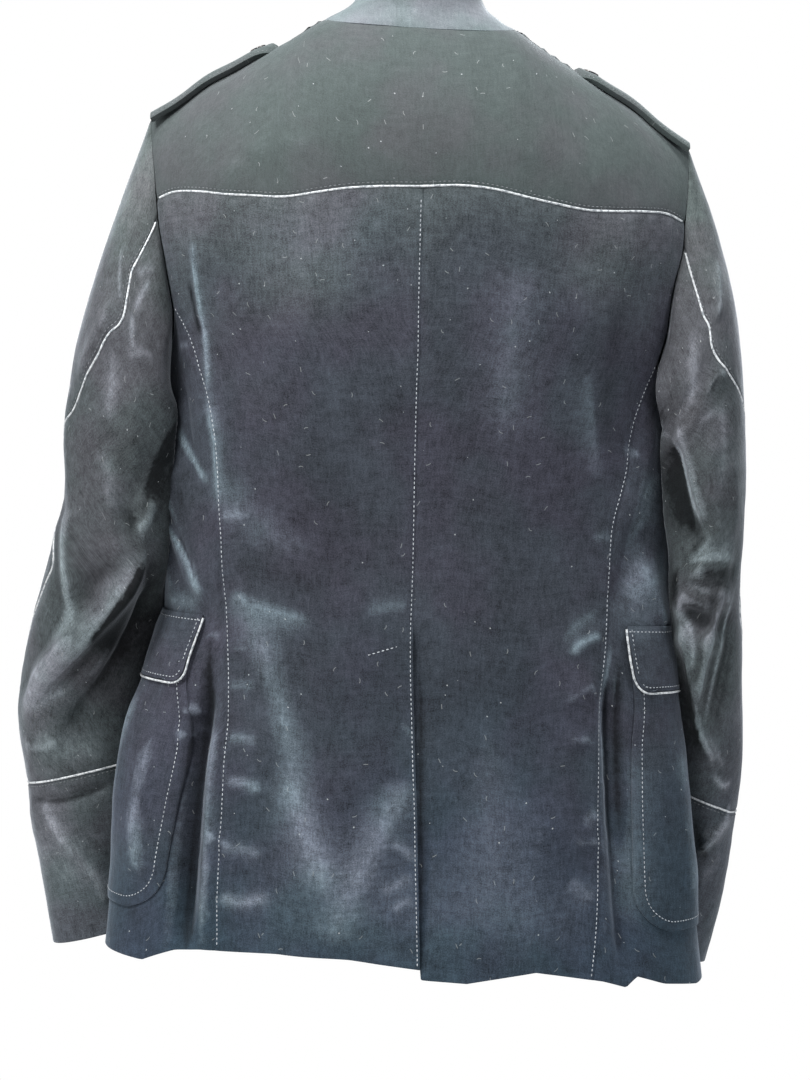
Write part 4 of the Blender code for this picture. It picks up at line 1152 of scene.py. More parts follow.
def cut_of(points):
    """The width, length and area of the flat cloth that a grid is made from, in metres."""
    across = np.linalg.norm(np.diff(points, axis=1), axis=-1).sum(axis=1) * MM
    down = np.linalg.norm(np.diff(points, axis=0), axis=-1).sum(axis=0) * MM
    first = np.cross(points[1:, :-1] - points[:-1, :-1], points[:-1, 1:] - points[:-1, :-1])
    second = np.cross(points[:-1, 1:] - points[1:, 1:], points[1:, :-1] - points[1:, 1:])
    area = (np.linalg.norm(first, axis=-1).sum() + np.linalg.norm(second, axis=-1).sum()) / 2
    flat = (float(across.max()), float(down.max()))
    return flat, min(float(area) * MM**2, flat[0] * flat[1])


def add_cloth(
    node, grid, finish, thickness=CLOTH, more=(), welded=False, round_edge=0.3
):
    """One cut piece of cloth with its own thickness, in place of a node."""
    mesh = shaped_grid(node + "_cloth", grid)
    if more or welded:
        joined = bmesh.new()
        joined.from_mesh(mesh)
        for number, extra in enumerate(more):
            part = shaped_grid(f"{node}_part_{number}", extra)
            joined.from_mesh(part)
            bpy.data.meshes.remove(part)
        bmesh.ops.remove_doubles(joined, verts=joined.verts[:], dist=2e-5)
        joined.to_mesh(mesh)
        joined.free()
    piece = placed(node + "_cloth", mesh)
    wall = piece.modifiers.new("thickness", "SOLIDIFY")
    wall.thickness = thickness * MM
    wall.offset = -1.0
    wall.material_offset = 1
    wall.material_offset_rim = 0
    edge = piece.modifiers.new("soft_edge", "BEVEL")
    edge.width = round_edge * MM
    edge.segments = 2 if round_edge < 1.0 else 4
    edge.limit_method = "ANGLE"
    edge.angle_limit = math.radians(60)
    edge.harden_normals = False
    mesh.materials.append(finish)
    mesh.materials.append(backing)
    made = as_made(piece)
    piece.modifiers.clear()
    piece.data = made
    finished(piece, (finish, backing), node)
    flat, area = cut_of(grid[0])
    for extra in more:
        wider, extra_area = cut_of(extra[0])
        flat = (flat[0] + wider[0], flat[1])
        area += extra_area
    min(area, flat[0] * flat[1])


SATIN_RADIUS = 0.88


def add_piping(node, points, closed=False):
    """A satin cord sewn into a seam, a little uneven where the stitches hold it."""
    data = bpy.data.curves.new(node + "_satin", "CURVE")
    data.dimensions = "3D"
    data.bevel_depth = SATIN_RADIUS * MM
    data.bevel_resolution = 3
    data.use_fill_caps = not closed
    line = data.splines.new("POLY")
    line.points.add(len(points) - 1)
    for number, (point, co) in enumerate(zip(line.points, hang(points))):
        point.co = (*co, 1.0)
        point.radius = 0.97 + 0.06 * math.sin(number * 2.1) + 0.03 * math.sin(number * 0.7)
    line.use_cyclic_u = closed
    cord = placed(node + "_cord", data)
    mesh = as_made(cord)
    bpy.data.objects.remove(cord, do_unlink=True)
    mesh.name = node + "_satin"
    finished(placed(node + "_satin", mesh), (satin,), node)


def read_at(places, run, line):
    """A line's three-part values at places along its run."""
    return np.stack([np.interp(places, run, line[:, axis]) for axis in range(3)], axis=-1)


def even(points, step, *others):
    """A line, and what goes with each of its points, at even steps along it."""
    run = np.concatenate([[0.0], np.cumsum(np.linalg.norm(np.diff(points, axis=0), axis=1))])
    stops = np.linspace(0.0, run[-1], max(2, round(run[-1] / step) + 1))
    return [read_at(stops, run, values) for values in (points, *others)]


def add_stitches(name, lines, finish=None, pitch=3.7, length=2.4, width=0.9):
    """Rows of short raised stitches, each pressed a little into the cloth."""
    one = bmesh.new()
    bmesh.ops.create_uvsphere(one, u_segments=6, v_segments=4, radius=1.0)
    bead = mesh_of(name + "_one", one)
    shape = bmesh.new()
    places = []
    for points, normals in lines:
        place, up = even(points, pitch / 2, normals)
        for here, ahead, normal in zip(place[1:-1:2], place[2::2], up[1:-1:2]):
            axis = unit(ahead - here)
            beside = unit(np.cross(normal, axis))
            above = np.cross(axis, beside)
            half = np.array([[length], [width], [width * 0.6]]) / 2
            places.append((np.stack([axis, beside, above]) * half, here + normal * 0.05))
            shape.from_mesh(bead)
    mesh = mesh_of(name, shape)
    bpy.data.meshes.remove(bead)
    at = np.empty(len(mesh.vertices) * 3)
    mesh.vertices.foreach_get("co", at)
    at = at.reshape(len(places), -1, 3) @ np.array([turned for turned, _ in places])
    at = at + np.array([place for _, place in places])[:, None]
    mesh.vertices.foreach_set("co", hang(at).ravel())
    mesh.update()
    finished(placed(name, mesh), (finish or thread,), None)


def beside(grid, edge, distance):
    """The line on a grid that runs a distance in from one of its edges, with its normals."""
    points, normals, _ = grid
    if edge in ("top", "bottom"):
        return beside(across_grid(grid), {"top": "start", "bottom": "end"}[edge], distance)
    if edge == "end":
        points, normals = points[:, ::-1], normals[:, ::-1]
    run = lengths_along(points, 1)
    place, up = (
        np.array([read_at(distance, along, line) for along, line in zip(run, lines)])
        for lines in (points, normals)
    )
    return place, unit(up)


def cord_line(points, normals, lift):
    """Even points for a cord that lies a little above a seam."""
    line, up = even(points, CORD_STEP, normals)
    return line + unit(up) * lift


def part_of(line, start, end):
    """The stretch of a line between two shares of its points."""
    points, normals = line
    first, last = round(start * len(points)), round(end * len(points))
    return points[first:last], normals[first:last]


YOKE_COLUMNS = spans((0.0, 5.0, 104.0), (5.0, 10.0, 104.0), step=3.6)


def build_yoke():
    rows = graded(150.0, 3.6)
    halves = [yoke_half(side, rows, YOKE_COLUMNS) for side in SIGN]
    (left_turn, left_drop), (right_turn, right_drop) = halves
    middle = (left_turn[:, :1] + right_turn[:, :1]) / 2
    turn = np.concatenate([left_turn[:, :0:-1], middle, right_turn[:, 1:]], axis=1)
    drop = np.concatenate([left_drop[:, :0:-1], right_drop], axis=1)
    grid = sheet(turn, drop)
    shown = dipped(puckered(grid, "bottom", 0.5, 17.0), "bottom")
    shown = dipped(shown, "start", "end", depth=0.3)
    add_cloth("yoke", shown, yoke_velvet)
    add_stitches("yoke_seam_stitches", [beside(shown, "bottom", STITCHES_IN["yoke"])], dull_thread)

    points, normals, _ = shown
    add_piping("yoke_piping", cord_line(points[-1], normals[-1], 0.15)[1:-1])
    return grid


def build_back(side):
    rows = back_rows_of(side)
    turn, drop = back_grid(side, rows, graded(190.0, 2.4))
    grid = sheet(turn, drop)
    fade = smooth_step(rows - VENT_ROW + 1)[:, None]
    clear = far_from(grid[0], "start")
    shown = puckered(puckered(grid, "start", 0.9, 24.0), "end", 0.8, 19.0, 5.0)
    shown = dipped(dipped(shown, "top"), "end", depth=0.5)
    seam = hump(clear, SEAM_REACH) * (1.0 - fade)
    shown = raised(shown, -SEAM_SINK * seam)
    more = ()
    if side == "left":
        shown = raised(shown, 1.3 * fade * hump(clear, 16.0))
    else:
        shown = raised(shown, fade * layer_under(clear, COVERED, UNDERLAP_RAMP))
        more = (underlap(rows, turn[:, 0], drop[:, 0], shown),)
    add_cloth("back_" + side, shown, velvet, more=more)
    return grid, shown


def underlap(rows, centre, drop, shown):
    """The strip of the right half that runs on under the left half, below the vent's top."""
    below = rows >= VENT_ROW - 0.999
    rows, centre, drop = rows[below], centre[below], drop[below]
    reach = UNDERLAP * np.clip(rows - VENT_ROW + 1, 0.03, 1.0)
    share = np.linspace(1.0, 0.0, 10)
    turn = centre[:, None] - turn_at(reach, drop, "right")[:, None] * share
    low = drop[:, None] - UNDERLAP_SHORTER * smooth_step(rows - LAST + 1)[:, None] * share
    under = -(CLOTH + LAP_GAP) * np.clip(rows - VENT_ROW + 1, 0.0, 1.0)[:, None]
    strip = raised(sheet(turn, low), under + 0.0 * turn)
    strip[0][:, -1] = shown[0][below, 0]
    return strip


def armhole_share(side):
    """Where along a back's outer edge the armhole ends and the side seam begins."""
    rows = back_rows_of(side)
    return float(np.searchsorted(rows, CORNER_ROW[side])) / len(rows)


def vent_tack():
    """The slanting row of stitches that holds the top of the vent."""
    back = 1.0 - np.linspace(0.0, 1.0, 14)
    drop = level(VENT_ROW - 1.0, 0.0) + TACK_BELOW + back * TACK_FALL
    centre = seam_turn(drop, "centre", "left")
    turn = centre - turn_at(COVERED + TACK_REACH * back, drop, "right")
    normals = body_normals(turn, drop)
    return body(turn, drop) + normals * 0.4, normals


def build_front(side):
    rows = rows_between(side, CHEST_ROW, CORNER_ROW[side] + 1, FLAP_TOP, LAST, step=FRONT_STEP)
    columns = spans((0, 2, 60.0), (2, 9, 190.0), (9, 10, 16.0), step=FRONT_STEP)
    top_rows = graded(230.0, FRONT_STEP)
    turn, drop = front_grid(side, top_rows, rows, columns)
    grid = sheet(turn, drop)
    shown = dipped(grid, "start", "top")
    if side == "right":
        clear = far_from(grid[0], "end") - FRONT_OVERLAP
        shown = raised(shown, layer_under(clear, FRONT_COVERED, FRONT_UNDERLAP_RAMP))
    add_cloth("front_" + side, shown, velvet)
    return grid, rows, len(top_rows) - 1


def build_side(side):
    corner = CORNER_ROW[side]
    rows = rows_between(side, corner, corner + 1, FLAP_TOP, LAST)
    columns = spans((0, 4, 50.0), (4, 9, 110.0), step=2.5)
    turn, drop = side_grid(side, rows, columns)
    grid = sheet(turn, drop)
    shown = puckered(grid, "start", 0.8, 19.0, 5.0)
    shown = dipped(shown, "start", "end", "top")
    add_cloth("side_" + side, shown, velvet)
    return grid


def armhole_loop(side, yoke, back, back_rows, sidepiece, front, front_rows, front_first):
    """The armhole's edge, from the shoulder tip down the back and up the front."""
    corner = CORNER_ROW[side]
    edge = 0 if side == "left" else -1
    last_back = int(np.searchsorted(back_rows, corner))
    front_corner = front_first + int(np.searchsorted(front_rows, corner))
    loop, normals = [
        np.concatenate(
            [
                yoke[kind][:, edge],
                back[kind][1 : last_back + 1, -1],
                sidepiece[kind][0, 1:-1],
                front[kind][front_corner:0:-1, 0],
            ]
        )
        for kind in (0, 1)
    ]
    return loop, normals, yoke[0].shape[0] - 1 + int(np.searchsorted(back_rows, 1.0))


def sleeve_fold(angle, along, side):
    lift = np.zeros(np.broadcast(angle, along).shape)
    folds = SLEEVE_FOLDS[side]
    for top_angle, top, low_angle, low, width, rise, step in zip(*[folds[n] for n in folds]):
        across = np.radians(low_angle - top_angle) * SLEEVE_RADIUS
        down = low - top
        length = math.hypot(across, down)
        x = np.radians((angle - top_angle + 180.0) % 360.0 - 180.0) * SLEEVE_RADIUS
        y = along - top
        share = (x * across + y * down) / length**2
        off = (x * down - y * across) / length * np.sign(across)
        ends = smooth_step(share / 0.2) * smooth_step((1.0 - share) / 0.2)
        ridge = hump(off, width)
        stepped = -off / width * ridge * 1.6
        lift = lift + rise * ends * (stepped if step else ridge)
    return lift


def tube(side, along, angle):
    """Points round the plain sleeve, without its fit to the armhole and its folds."""
    sign = SIGN[side]
    sizes = SLEEVE[side]
    size = {name: size_at(sizes, name, along) for name in sizes}
    sine, cosine = superellipse(np.radians(angle))
    width = size["outer"] - size["inner"]
    fall = size["outer_drop"] - size["inner_drop"]
    across = size["inner"] + width * (1.0 + cosine) / 2
    drop = size["inner_drop"] + fall * (1.0 + cosine) / 2
    depth = size["middle"] - size["depth"] * sine
    return np.stack([across * sign, depth, -drop], axis=-1)


def clear_of_body(points, clear, side):
    """Distances from the middle, pushed out where the sleeve would meet the body's side."""
    sign = SIGN[side]
    drop = -points[..., 2]
    across = points[..., 0] * sign
    back = size_at(BODY, "back", drop)
    front = size_at(BODY, "front", drop)
    share = np.abs(points[..., 1]) / np.where(points[..., 1] < 0, back, front)
    wall = half_width(sign, drop) * np.clip(1.0 - share**CORNER, 0.0, 1.0) ** (1.0 / CORNER)
    limit = np.where(share < 1, wall + clear, 0.0)
    soft = np.sqrt((across - limit) ** 2 + clear**2)
    pushed = (across + limit + soft) / 2
    return np.where(drop > CLEAR_BELOW, np.maximum(pushed, across), across)


SLEEVE_CLEARANCE = 2.2
HEAD_BULGE = {"left": 5.0, "right": 9.0, "front": 6.0}
INNER_FULL_BELOW = 225.0
# How far each sleeve's slack cloth fills the space beside the body.
INNER_FULLNESS = side_tables(
    "along height",
    """
    0 0, 20 9, 80 17, 180 19, 280 21, 360 17, 430 12, 505 5, 650 1
    """,
    """
    0 0, 8 9, 20 15, 80 20, 180 18, 280 17, 360 15, 430 12, 505 6, 650 1
    """,
)


def sleeve_relief(angle, along, side):
    """All that lifts a sleeve's cloth off its plain tube."""
    around = angle % 360.0
    creases = SLEEVE_CREASES[side]
    lift = crease_lift(creases, around, along, False)
    lift = lift + crease_lift(creases, around - 360.0, along, False)
    lift = CREASE_RISE * lift * smooth_step((along - 12.0) / 40.0)
    lift = lift + sleeve_fold(angle, along, side) * smooth_step((along - 60.0) / 60.0)
    wave = 0.0
    for height, size, seed, share in SLEEVE_WAVES:
        wave = wave + height * waver(around, along * share, size, seed)
    lift = lift + wave * smooth_step(along / 30.0)
    head = waver(around, 0.0 * along, 21.0, 7.0) * hump(along, 17.0)
    return lift + 0.9 * head * (1.0 - hump(along, 4.0))


def sleeve_grid(side, loop, loop_normals, seam, along):
    """The sleeve and cuff through the armhole's edge: a grid that starts at the front seam."""
    sign = SIGN[side]
    lowest = int(np.argmin(loop[:, 2]))
    way = np.concatenate([[0.0], np.cumsum(np.linalg.norm(np.diff(loop, axis=0), axis=1))])
    total = way[-1] + np.linalg.norm(loop[0] - loop[-1])
    before = 180.0 * way / way[lowest]
    after = 180.0 + 180.0 * (way - way[lowest]) / (total - way[lowest])
    angle = np.where(way <= way[lowest], before, after)
    back = angle[seam]
    upper = spans((FRONT_SEAM_ANGLE - 360.0, back, 265.0))
    head = np.concatenate([upper, spans((back, FRONT_SEAM_ANGLE, 190.0), step=2.3)[1:]])
    seam_column = int(np.argmin(np.abs(head - back)))

    off_edge = seam_frame(loop, loop_normals, sign)
    keys = np.append(angle, 360.0)
    edge, edge_normals, off_edge = (
        read_at(head % 360.0, keys, np.concatenate([values, values[:1]]))
        for values in (loop, loop_normals, off_edge)
    )

    knots = [head[0], back, head[-1]]
    table_at = BACK_SEAM[side]
    start = np.interp(along, [0.0, table_at["along"][0]], [back, table_at["angle"][0]])
    below = size_at(table_at, "angle", along)
    seam_angle = np.where(along < table_at["along"][0], start, below)
    ring = np.stack([np.interp(head, knots, [knots[0], here, knots[2]]) for here in seam_angle])
    down = along[:, None]
    points = tube(side, down, ring)
    keep = 1.0 - smooth_step(down / HEAD_BLEND)
    points = points + keep[..., None] * (edge - tube(side, np.zeros(1), head))

    outward = unit(points - points[:, :-1].mean(axis=1, keepdims=True))
    relief = sleeve_relief(ring, down + 0.0 * ring, side)
    full = INNER_FULLNESS[side]
    height = size_at(full, "height", np.clip(down, 0.0, CUFF_END))
    around = ring % 360.0
    round_inner = hump(around - 165.0, 48.0)
    below_armhole = smooth_step((-points[..., 2] - INNER_FULL_BELOW) / 50.0)
    points = points + outward * (relief + height * round_inner * below_armhole)[..., None]
    near_head = smooth_step(down / 7.0) * (1.0 - smooth_step((down - 50.0) / 90.0))
    behind = HEAD_BULGE[side] * hump(around - 122.0, 34.0)
    bulge = behind + HEAD_BULGE["front"] * hump(around - 236.0, 34.0)
    points = points + outward * (bulge * near_head)[..., None]
    clear = HEAD_CLEARANCE + (SLEEVE_CLEARANCE - HEAD_CLEARANCE) * smooth_step(down / 60.0)
    points[..., 0] = sign * clear_of_body(points, clear, side)

    under = smooth_step((-edge[:, 2] - 215.0) / 60.0)[:, None]
    away = off_edge * HEAD_GAP + edge_normals * HEAD_LIFT * under
    points = points + away * hump(down, 7.0)[..., None]
    lie = np.stack([relief, sleeve_nap_and_painted_light(ring, down + 0.0 * ring, side)], axis=-1)
    return (points, facing(points, outward), lie), seam_column


def build_sleeve(side, loop, loop_normals, seam):
    sleeve = spans((0.0, SLEEVE_END, SLEEVE_END), step=2.7)
    cuff = spans((SLEEVE_END, CUFF_END, CUFF_END - SLEEVE_END))
    along = np.concatenate([sleeve, cuff[1:]])
    last = len(sleeve) - 1
    grid, column = sleeve_grid(side, loop, loop_normals, seam, along)
    upper = tuple(part[: last + 1, : column + 1] for part in grid)
    lower = tuple(part[: last + 1, column:] for part in grid)
    low = tuple(part[last:] for part in grid)
    upper = dipped(puckered(upper, "end", 0.7, 18.0, 6.0), "bottom", "start", "end")
    lower = dipped(puckered(lower, "start", 0.7, 18.0, 6.0), "bottom", "start", "end")
    upper, lower = (dipped(part, "top", depth=0.25) for part in (upper, lower))
    low = dipped(puckered(low, "top", 0.5, 16.0, 3.0), "top")
    add_cloth("sleeve_upper_" + side, upper, sleeve_velvet)
    add_cloth("sleeve_under_" + side, lower, sleeve_velvet)
    add_cloth("cuff_" + side, low, sleeve_velvet, welded=True)

    points, normals, _ = upper
    cord = cord_line(points[3:-1, -1], normals[3:-1, -1], 0.25)
    add_piping("sleeve_piping_" + side, cord)
    cord = cord_line(low[0][0], low[1][0], 0.25)
    add_piping("cuff_piping_" + side, cord[:-1], closed=True)
    seam_line = part_of(beside(upper, "end", STITCHES_IN["sleeve"]), 0.02, 0.98)
    lines = [seam_line, beside(low, "top", STITCHES_IN["cuff"])]
    add_stitches(f"sleeve_{side}_stitches", lines, dull_thread)


def build_collar(yoke, fronts):
    """The stand collar: a curved band from the neck seam, open at the centre front."""
    middle = yoke[0].shape[1] // 2
    reach = int(np.searchsorted(YOKE_COLUMNS, NECK_CELLS))
    back = slice(middle - reach, middle + reach + 1)
    sides = []
    for points, normals, _ in fronts:
        off_middle = np.abs(points[0, :, 0])
        at_front = points[0, :, 1] > yoke[0][0, middle + reach, 1] + 0.5
        in_neck = (off_middle < NECK_HALF - 0.2) & (off_middle > COLLAR_OPENING)
        own = np.sign(points[0, :, 0]) == np.sign(points[0, 0, 0])
        keep = at_front & in_neck & own
        sides.append((points[0, keep], normals[0, keep]))
    (left, left_normals), (right, right_normals) = sides
    base = np.concatenate([left[::-1], yoke[0][0, back], right])
    normals = np.concatenate([left_normals[::-1], yoke[1][0, back], right_normals])
    base[0, 0] = -COLLAR_OPENING
    base[-1, 0] = COLLAR_OPENING
    base, normals = even(base, 3.6, normals)
    normals = unit(normals)
    off_edge = seam_frame(base, normals, 1.0, closed=False)
    base = base + off_edge * 0.4 + normals * 0.5
    angle = np.arctan2(base[:, 0], -(base[:, 1] - RIDGE_Y))
    round_to_front = ((1.0 - np.cos(angle)) / 2) ** 1.5
    top_height = COLLAR_TOP_BACK + (COLLAR_TOP_FRONT - COLLAR_TOP_BACK) * round_to_front
    top_across = COLLAR_TOP_HALF * np.sin(angle)
    top = np.stack([top_across, -COLLAR_TOP_REACH * np.cos(angle) + 2.0, -top_height], axis=-1)
    top[0, 0] = -COLLAR_OPENING
    top[-1, 0] = COLLAR_OPENING
    share = graded(50.0, 3.2)[:, None, None]
    inward = unit(-base * np.array([1.0, 1.0, 0.0]))
    inward[0] = inward[1]
    inward[-1] = inward[-2]
    grid = base * (1.0 - share) + top * share + inward * np.sin(math.pi * share) * COLLAR_BOW
    grid[:, 0, 0] = -COLLAR_OPENING
    grid[:, -1, 0] = COLLAR_OPENING
    grid = grid[::-1]
    outward = unit(grid * np.array([1.0, 1.0, 0.0]))
    shown = (grid, facing(grid, outward), np.zeros((*grid.shape[:2], 2)))
    around, down = both_lengths(grid)
    middle_only = np.sin(np.linspace(0.0, math.pi, grid.shape[1])) ** 0.3
    shown = raised(shown, 0.7 * waver(around, down * 1.4, 52.0, 3.0) * middle_only)
    shown = dipped(shown, "bottom", depth=0.5)
    add_cloth("collar", shown, collar_velvet, COLLAR_CLOTH)


def patch_across(side, drop, bottom, radius, inset):
    """How far round the body the back and the front edges of a pocket or flap are."""
    start = across_of(pocket_turn(side, drop))
    end = across_of(np.full_like(start, POCKET_FRONT_TURN))
    rounding = max(radius - inset, 0.5)
    left = np.clip(bottom - inset - drop, 0.0, rounding)
    cut = inset + rounding - np.sqrt(rounding**2 - (rounding - left) ** 2)
    return start + cut, end - cut


def patch_grid(side, top, bottom, radius):
    """The body's cloth under a pocket or flap, with round lower corners."""
    sign = SIGN[side]
    drop = (top + (bottom - top) * graded(bottom - top, 3.6))[:, None]
    start, end = patch_across(side, drop, bottom, radius, 0.0)
    turn = sign * turn_of(start + (end - start) * graded(100.0, 3.8))
    return sheet(turn, drop + 0.0 * turn)


def patch_edge(side, top, bottom, radius, inset, height):
    """A line along the edge of a pocket or flap: down its back, along the bottom and up."""
    sign = SIGN[side]
    drop = top + (bottom - inset - top) * (1.0 - np.linspace(1.0, 0.0, 40) ** 1.8)
    start, end = patch_across(side, drop, bottom, radius, inset)
    along = np.linspace(start[-1], end[-1], 22)[1:-1]
    across = np.concatenate([start, along, end[::-1]])
    drops = np.concatenate([drop, np.full(20, drop[-1]), drop[::-1]])
    turn = sign * turn_of(across)
    normals = body_normals(turn, drops)
    above = height(drops) if callable(height) else height
    points = body(turn, drops) + normals * np.reshape(above, (-1, 1))
    return points, normals


def build_pocket(side):
    """A patch pocket with round lower corners, and its flap with piping on three edges."""
    sign = SIGN[side]
    rows = (FLAP_TOP, POCKET_TOP, FLAP_BOTTOM, POCKET_BOTTOM)
    flap_top, pocket_top, flap_bottom, bottom = (level(float(row), sign) for row in rows)
    one = LAYER_GAP + CLOTH
    two = 2 * one
    pocket = raised(patch_grid(side, pocket_top, bottom, POCKET_CORNER), one)
    around, down = both_lengths(pocket[0])
    middle = np.sin(math.pi * around / around[:, -1:]) * np.sin(math.pi * down / down[-1:])
    pocket = raised(pocket, middle * (2.2 + 1.0 * waver(around, down, 62.0, 8.0)))
    pocket = dipped(pocket, "start", "bottom", depth=0.5, reach=3.0)
    add_cloth("pocket_" + side, pocket, velvet)

    def flap_height(drop):
        share = np.clip((drop - flap_top) / (pocket_top - flap_top), 0.0, 1.0)
        return one + (two - one) * share + 1.0 * smooth_step((drop - flap_top) / 40.0)

    plain = patch_grid(side, flap_top, flap_bottom, FLAP_CORNER)
    flap = raised(plain, flap_height(-plain[0][..., 2]))
    around, down = both_lengths(flap[0])
    flap = raised(flap, 0.7 * waver(around, down * 1.3, 33.0, 9.0) * smooth_step(down / 12.0))
    flap = dipped(flap, "top", depth=0.9, reach=4.0)
    add_cloth("flap_" + side, flap, velvet)

    out = -(PIPING_RADIUS + 0.4)
    edge, up = patch_edge(side, flap_top, flap_bottom, FLAP_CORNER, out, flap_height)
    cord, up = even(edge - up * 0.4, 2.4, up)
    add_piping("flap_piping_" + side, cord[1:-1])

    inset = STITCHES_IN["flap"]
    line = patch_edge(side, flap_top + 2.0, flap_bottom, FLAP_CORNER, inset, flap_height)
    top_line = beside(flap, "top", STITCHES_IN["flap_top"])
    add_stitches(f"flap_{side}_stitches", [line, top_line])
    inset = STITCHES_IN["pocket"]
    line = patch_edge(side, flap_bottom, bottom, POCKET_CORNER, inset, one + 0.4)
    add_stitches(f"pocket_{side}_stitches", [line])


STRAP_CLOTH = 4.4
STRAP_LIFT = 1.6
STRAP_BUTTON_AT = 0.90
STRAP_BUTTON_SINK = 2.6


# A strand of the thread in a button's holes, across, along and up, in shares of its radius.
STRAND_SIZE = (0.05, 0.27, 0.07)

# Half of a button's cut, in shares of its radius.
BUTTON_PROFILE = table(
    "across height",
    """
    0 0, 0.78 0, 0.93 0.10, 1 0.24, 0.985 0.34, 0.92 0.40, 0.84 0.39, 0.74 0.30, 0.60 0.27
    0 0.26
    """,
)


def build_epaulette(side):
    """A strap along the shoulder, sewn in at the sleeve head and round at the neck end."""
    sign = SIGN[side]
    first = EPAULETTE["along"][0]
    length = EPAULETTE_LENGTH[side]
    along = first + (1.0 - first) * (1.0 - (1.0 - graded(length, 3.4)) ** 1.25)
    width = size_at(EPAULETTE, "width", along)
    rise = size_at(EPAULETTE, "rise", along)
    across = SHOULDER_TIP - along * length
    share = np.sin(np.linspace(-0.5, 0.5, 19) * math.pi)
    off = share[:, None] * width * EPAULETTE_HALF_WIDTH
    drop = shoulder_drop(across) + EPAULETTE_BEND * off**2
    drop = drop + 3.6 * np.abs(share[:, None]) ** 5 + 2.5 * smooth_step((along - 0.84) / 0.16)
    points = np.stack([sign * across * np.ones_like(off), RIDGE_Y + off, -drop], axis=-1)
    grid = (points, facing(points, np.array([0.0, 0.0, 1.0])), np.zeros((*off.shape, 2)))
    wave = 0.4 * waver(off, across + 0.0 * off, 44.0, 4.0)
    grid = raised(grid, rise + CLOTH + STRAP_LIFT + wave)
    name = "epaulette_" + side
    add_cloth(name, grid, yoke_velvet, thickness=STRAP_CLOTH, round_edge=1.5)
    inset = STITCHES_IN["strap"]
    near = [part_of(beside(grid, edge, inset), 0.02, 0.93) for edge in ("top", "bottom")]
    end = part_of(beside(grid, "end", inset), 0.15, 0.85)
    add_stitches(f"epaulette_{side}_stitches", near + [end], dull_thread)
    middle = int(np.argmin(np.abs(across - (SHOULDER_TIP - STRAP_BUTTON_AT * length))))
    centre, up = grid[0][9, middle], grid[1][9, middle]
    low = centre - STRAP_BUTTON_SINK * up
    add_button("epaulette_button_" + side, low, up, SMALL_BUTTON_RADIUS)


def add_button(node, centre, normal, radius):
    """A turned horn button with a raised rim, and two bars of the thread that holds it where its
    four holes would be; the holes are not cut.
    """
    tilted = hang(np.array([centre, centre + normal]))
    axis = Vector(unit(tilted[1] - tilted[0]))
    low = Vector(tilted[0]) + axis * BUTTON_LIFT * MM
    turned = Matrix.Translation(low) @ axis.to_track_quat("Z", "Y").to_matrix().to_4x4()
    profile = zip(BUTTON_PROFILE["across"], BUTTON_PROFILE["height"])
    shape = bmesh.new()
    line = [shape.verts.new((x * radius * MM, 0.0, z * radius * MM)) for x, z in profile]
    for start, end in zip(line, line[1:]):
        shape.edges.new((start, end))
    bmesh.ops.spin(
        shape,
        geom=shape.verts[:] + shape.edges[:],
        axis=(0, 0, 1),
        cent=(0, 0, 0),
        steps=40,
        angle=math.tau,
        use_merge=True,
    )
    bmesh.ops.remove_doubles(shape, verts=shape.verts[:], dist=1e-6)
    bmesh.ops.recalc_face_normals(shape, faces=shape.faces[:])
    mesh = mesh_of(node + "_horn", shape)
    mesh.transform(turned)
    finished(placed(node + "_horn", mesh), (horn,), node)

    wound = bmesh.new()
    for x in (-0.22, 0.22):
        for strand in (-0.06, 0.0, 0.06):
            place = Matrix.Translation(((x + strand) * radius * MM, 0.0, 0.29 * radius * MM))
            size = Matrix.Diagonal((*(share * radius * MM for share in STRAND_SIZE), 1.0))
            bmesh.ops.create_uvsphere(
                wound, u_segments=8, v_segments=6, radius=1.0, matrix=place @ size
            )
    bmesh.ops.recalc_face_normals(wound, faces=wound.faces[:])
    held = mesh_of(node + "_thread", wound)
    held.transform(turned)
    finished(placed(node + "_thread", held), (dark_thread,), None)


def build_buttons():
    """The five buttons of the centre front, on the front that laps over."""
    for number, drop in enumerate(BUTTON_DROPS, 1):
        turn = np.array([-2.0])
        drops = np.array([drop])
        centre, normal = body(turn, drops)[0], body_normals(turn, drops)[0]
        add_button(f"front_button_{number}", centre, normal, BUTTON_RADIUS)


# Finishes.


def set_inputs(tree, node, values):
    """Puts values or links on a node's inputs."""
    for key, value in values.items():
        if isinstance(value, bpy.types.NodeSocket):
            tree.links.new(value, node.inputs[key])
        else:
            node.inputs[key].default_value = value


def add_node(tree, kind, values=None, **settings):
    """A shader node with its settings, and with values or links on its inputs."""
    made = tree.nodes.new(kind)
    for name, value in settings.items():
        setattr(made, name, value)
    set_inputs(tree, made, values or {})
    return made


def add_maths(tree, operation, first, second=0.0, third=0.0):
    values = {0: first, 1: second, 2: third}
    return add_node(tree, "ShaderNodeMath", values, operation=operation).outputs[0]


def add_ramp(tree, value, low, high, to_low=0.0, to_high=1.0):
    values = {"Value": value, "From Min": low, "From Max": high}
    values.update({"To Min": to_low, "To Max": to_high})
    made = add_node(tree, "ShaderNodeMapRange", values, interpolation_type="SMOOTHSTEP")
    return made.outputs["Result"]


def add_noise(tree, place, scale, detail=3.0, roughness=0.5):
    values = {"Vector": place, "Scale": scale, "Detail": detail, "Roughness": roughness}
    return add_node(tree, "ShaderNodeTexNoise", values).outputs["Fac"]


def add_mix(tree, share, first, second, blend="MIX"):
    made = add_node(tree, "ShaderNodeMix", data_type="RGBA", blend_type=blend)
    set_inputs(tree, made, {0: share, 6: first, 7: second})
    return made.outputs[2]


def add_vectors(tree, operation, first, second):
    values = {0: first, 1: second}
    return add_node(tree, "ShaderNodeVectorMath", values, operation=operation).outputs[0]


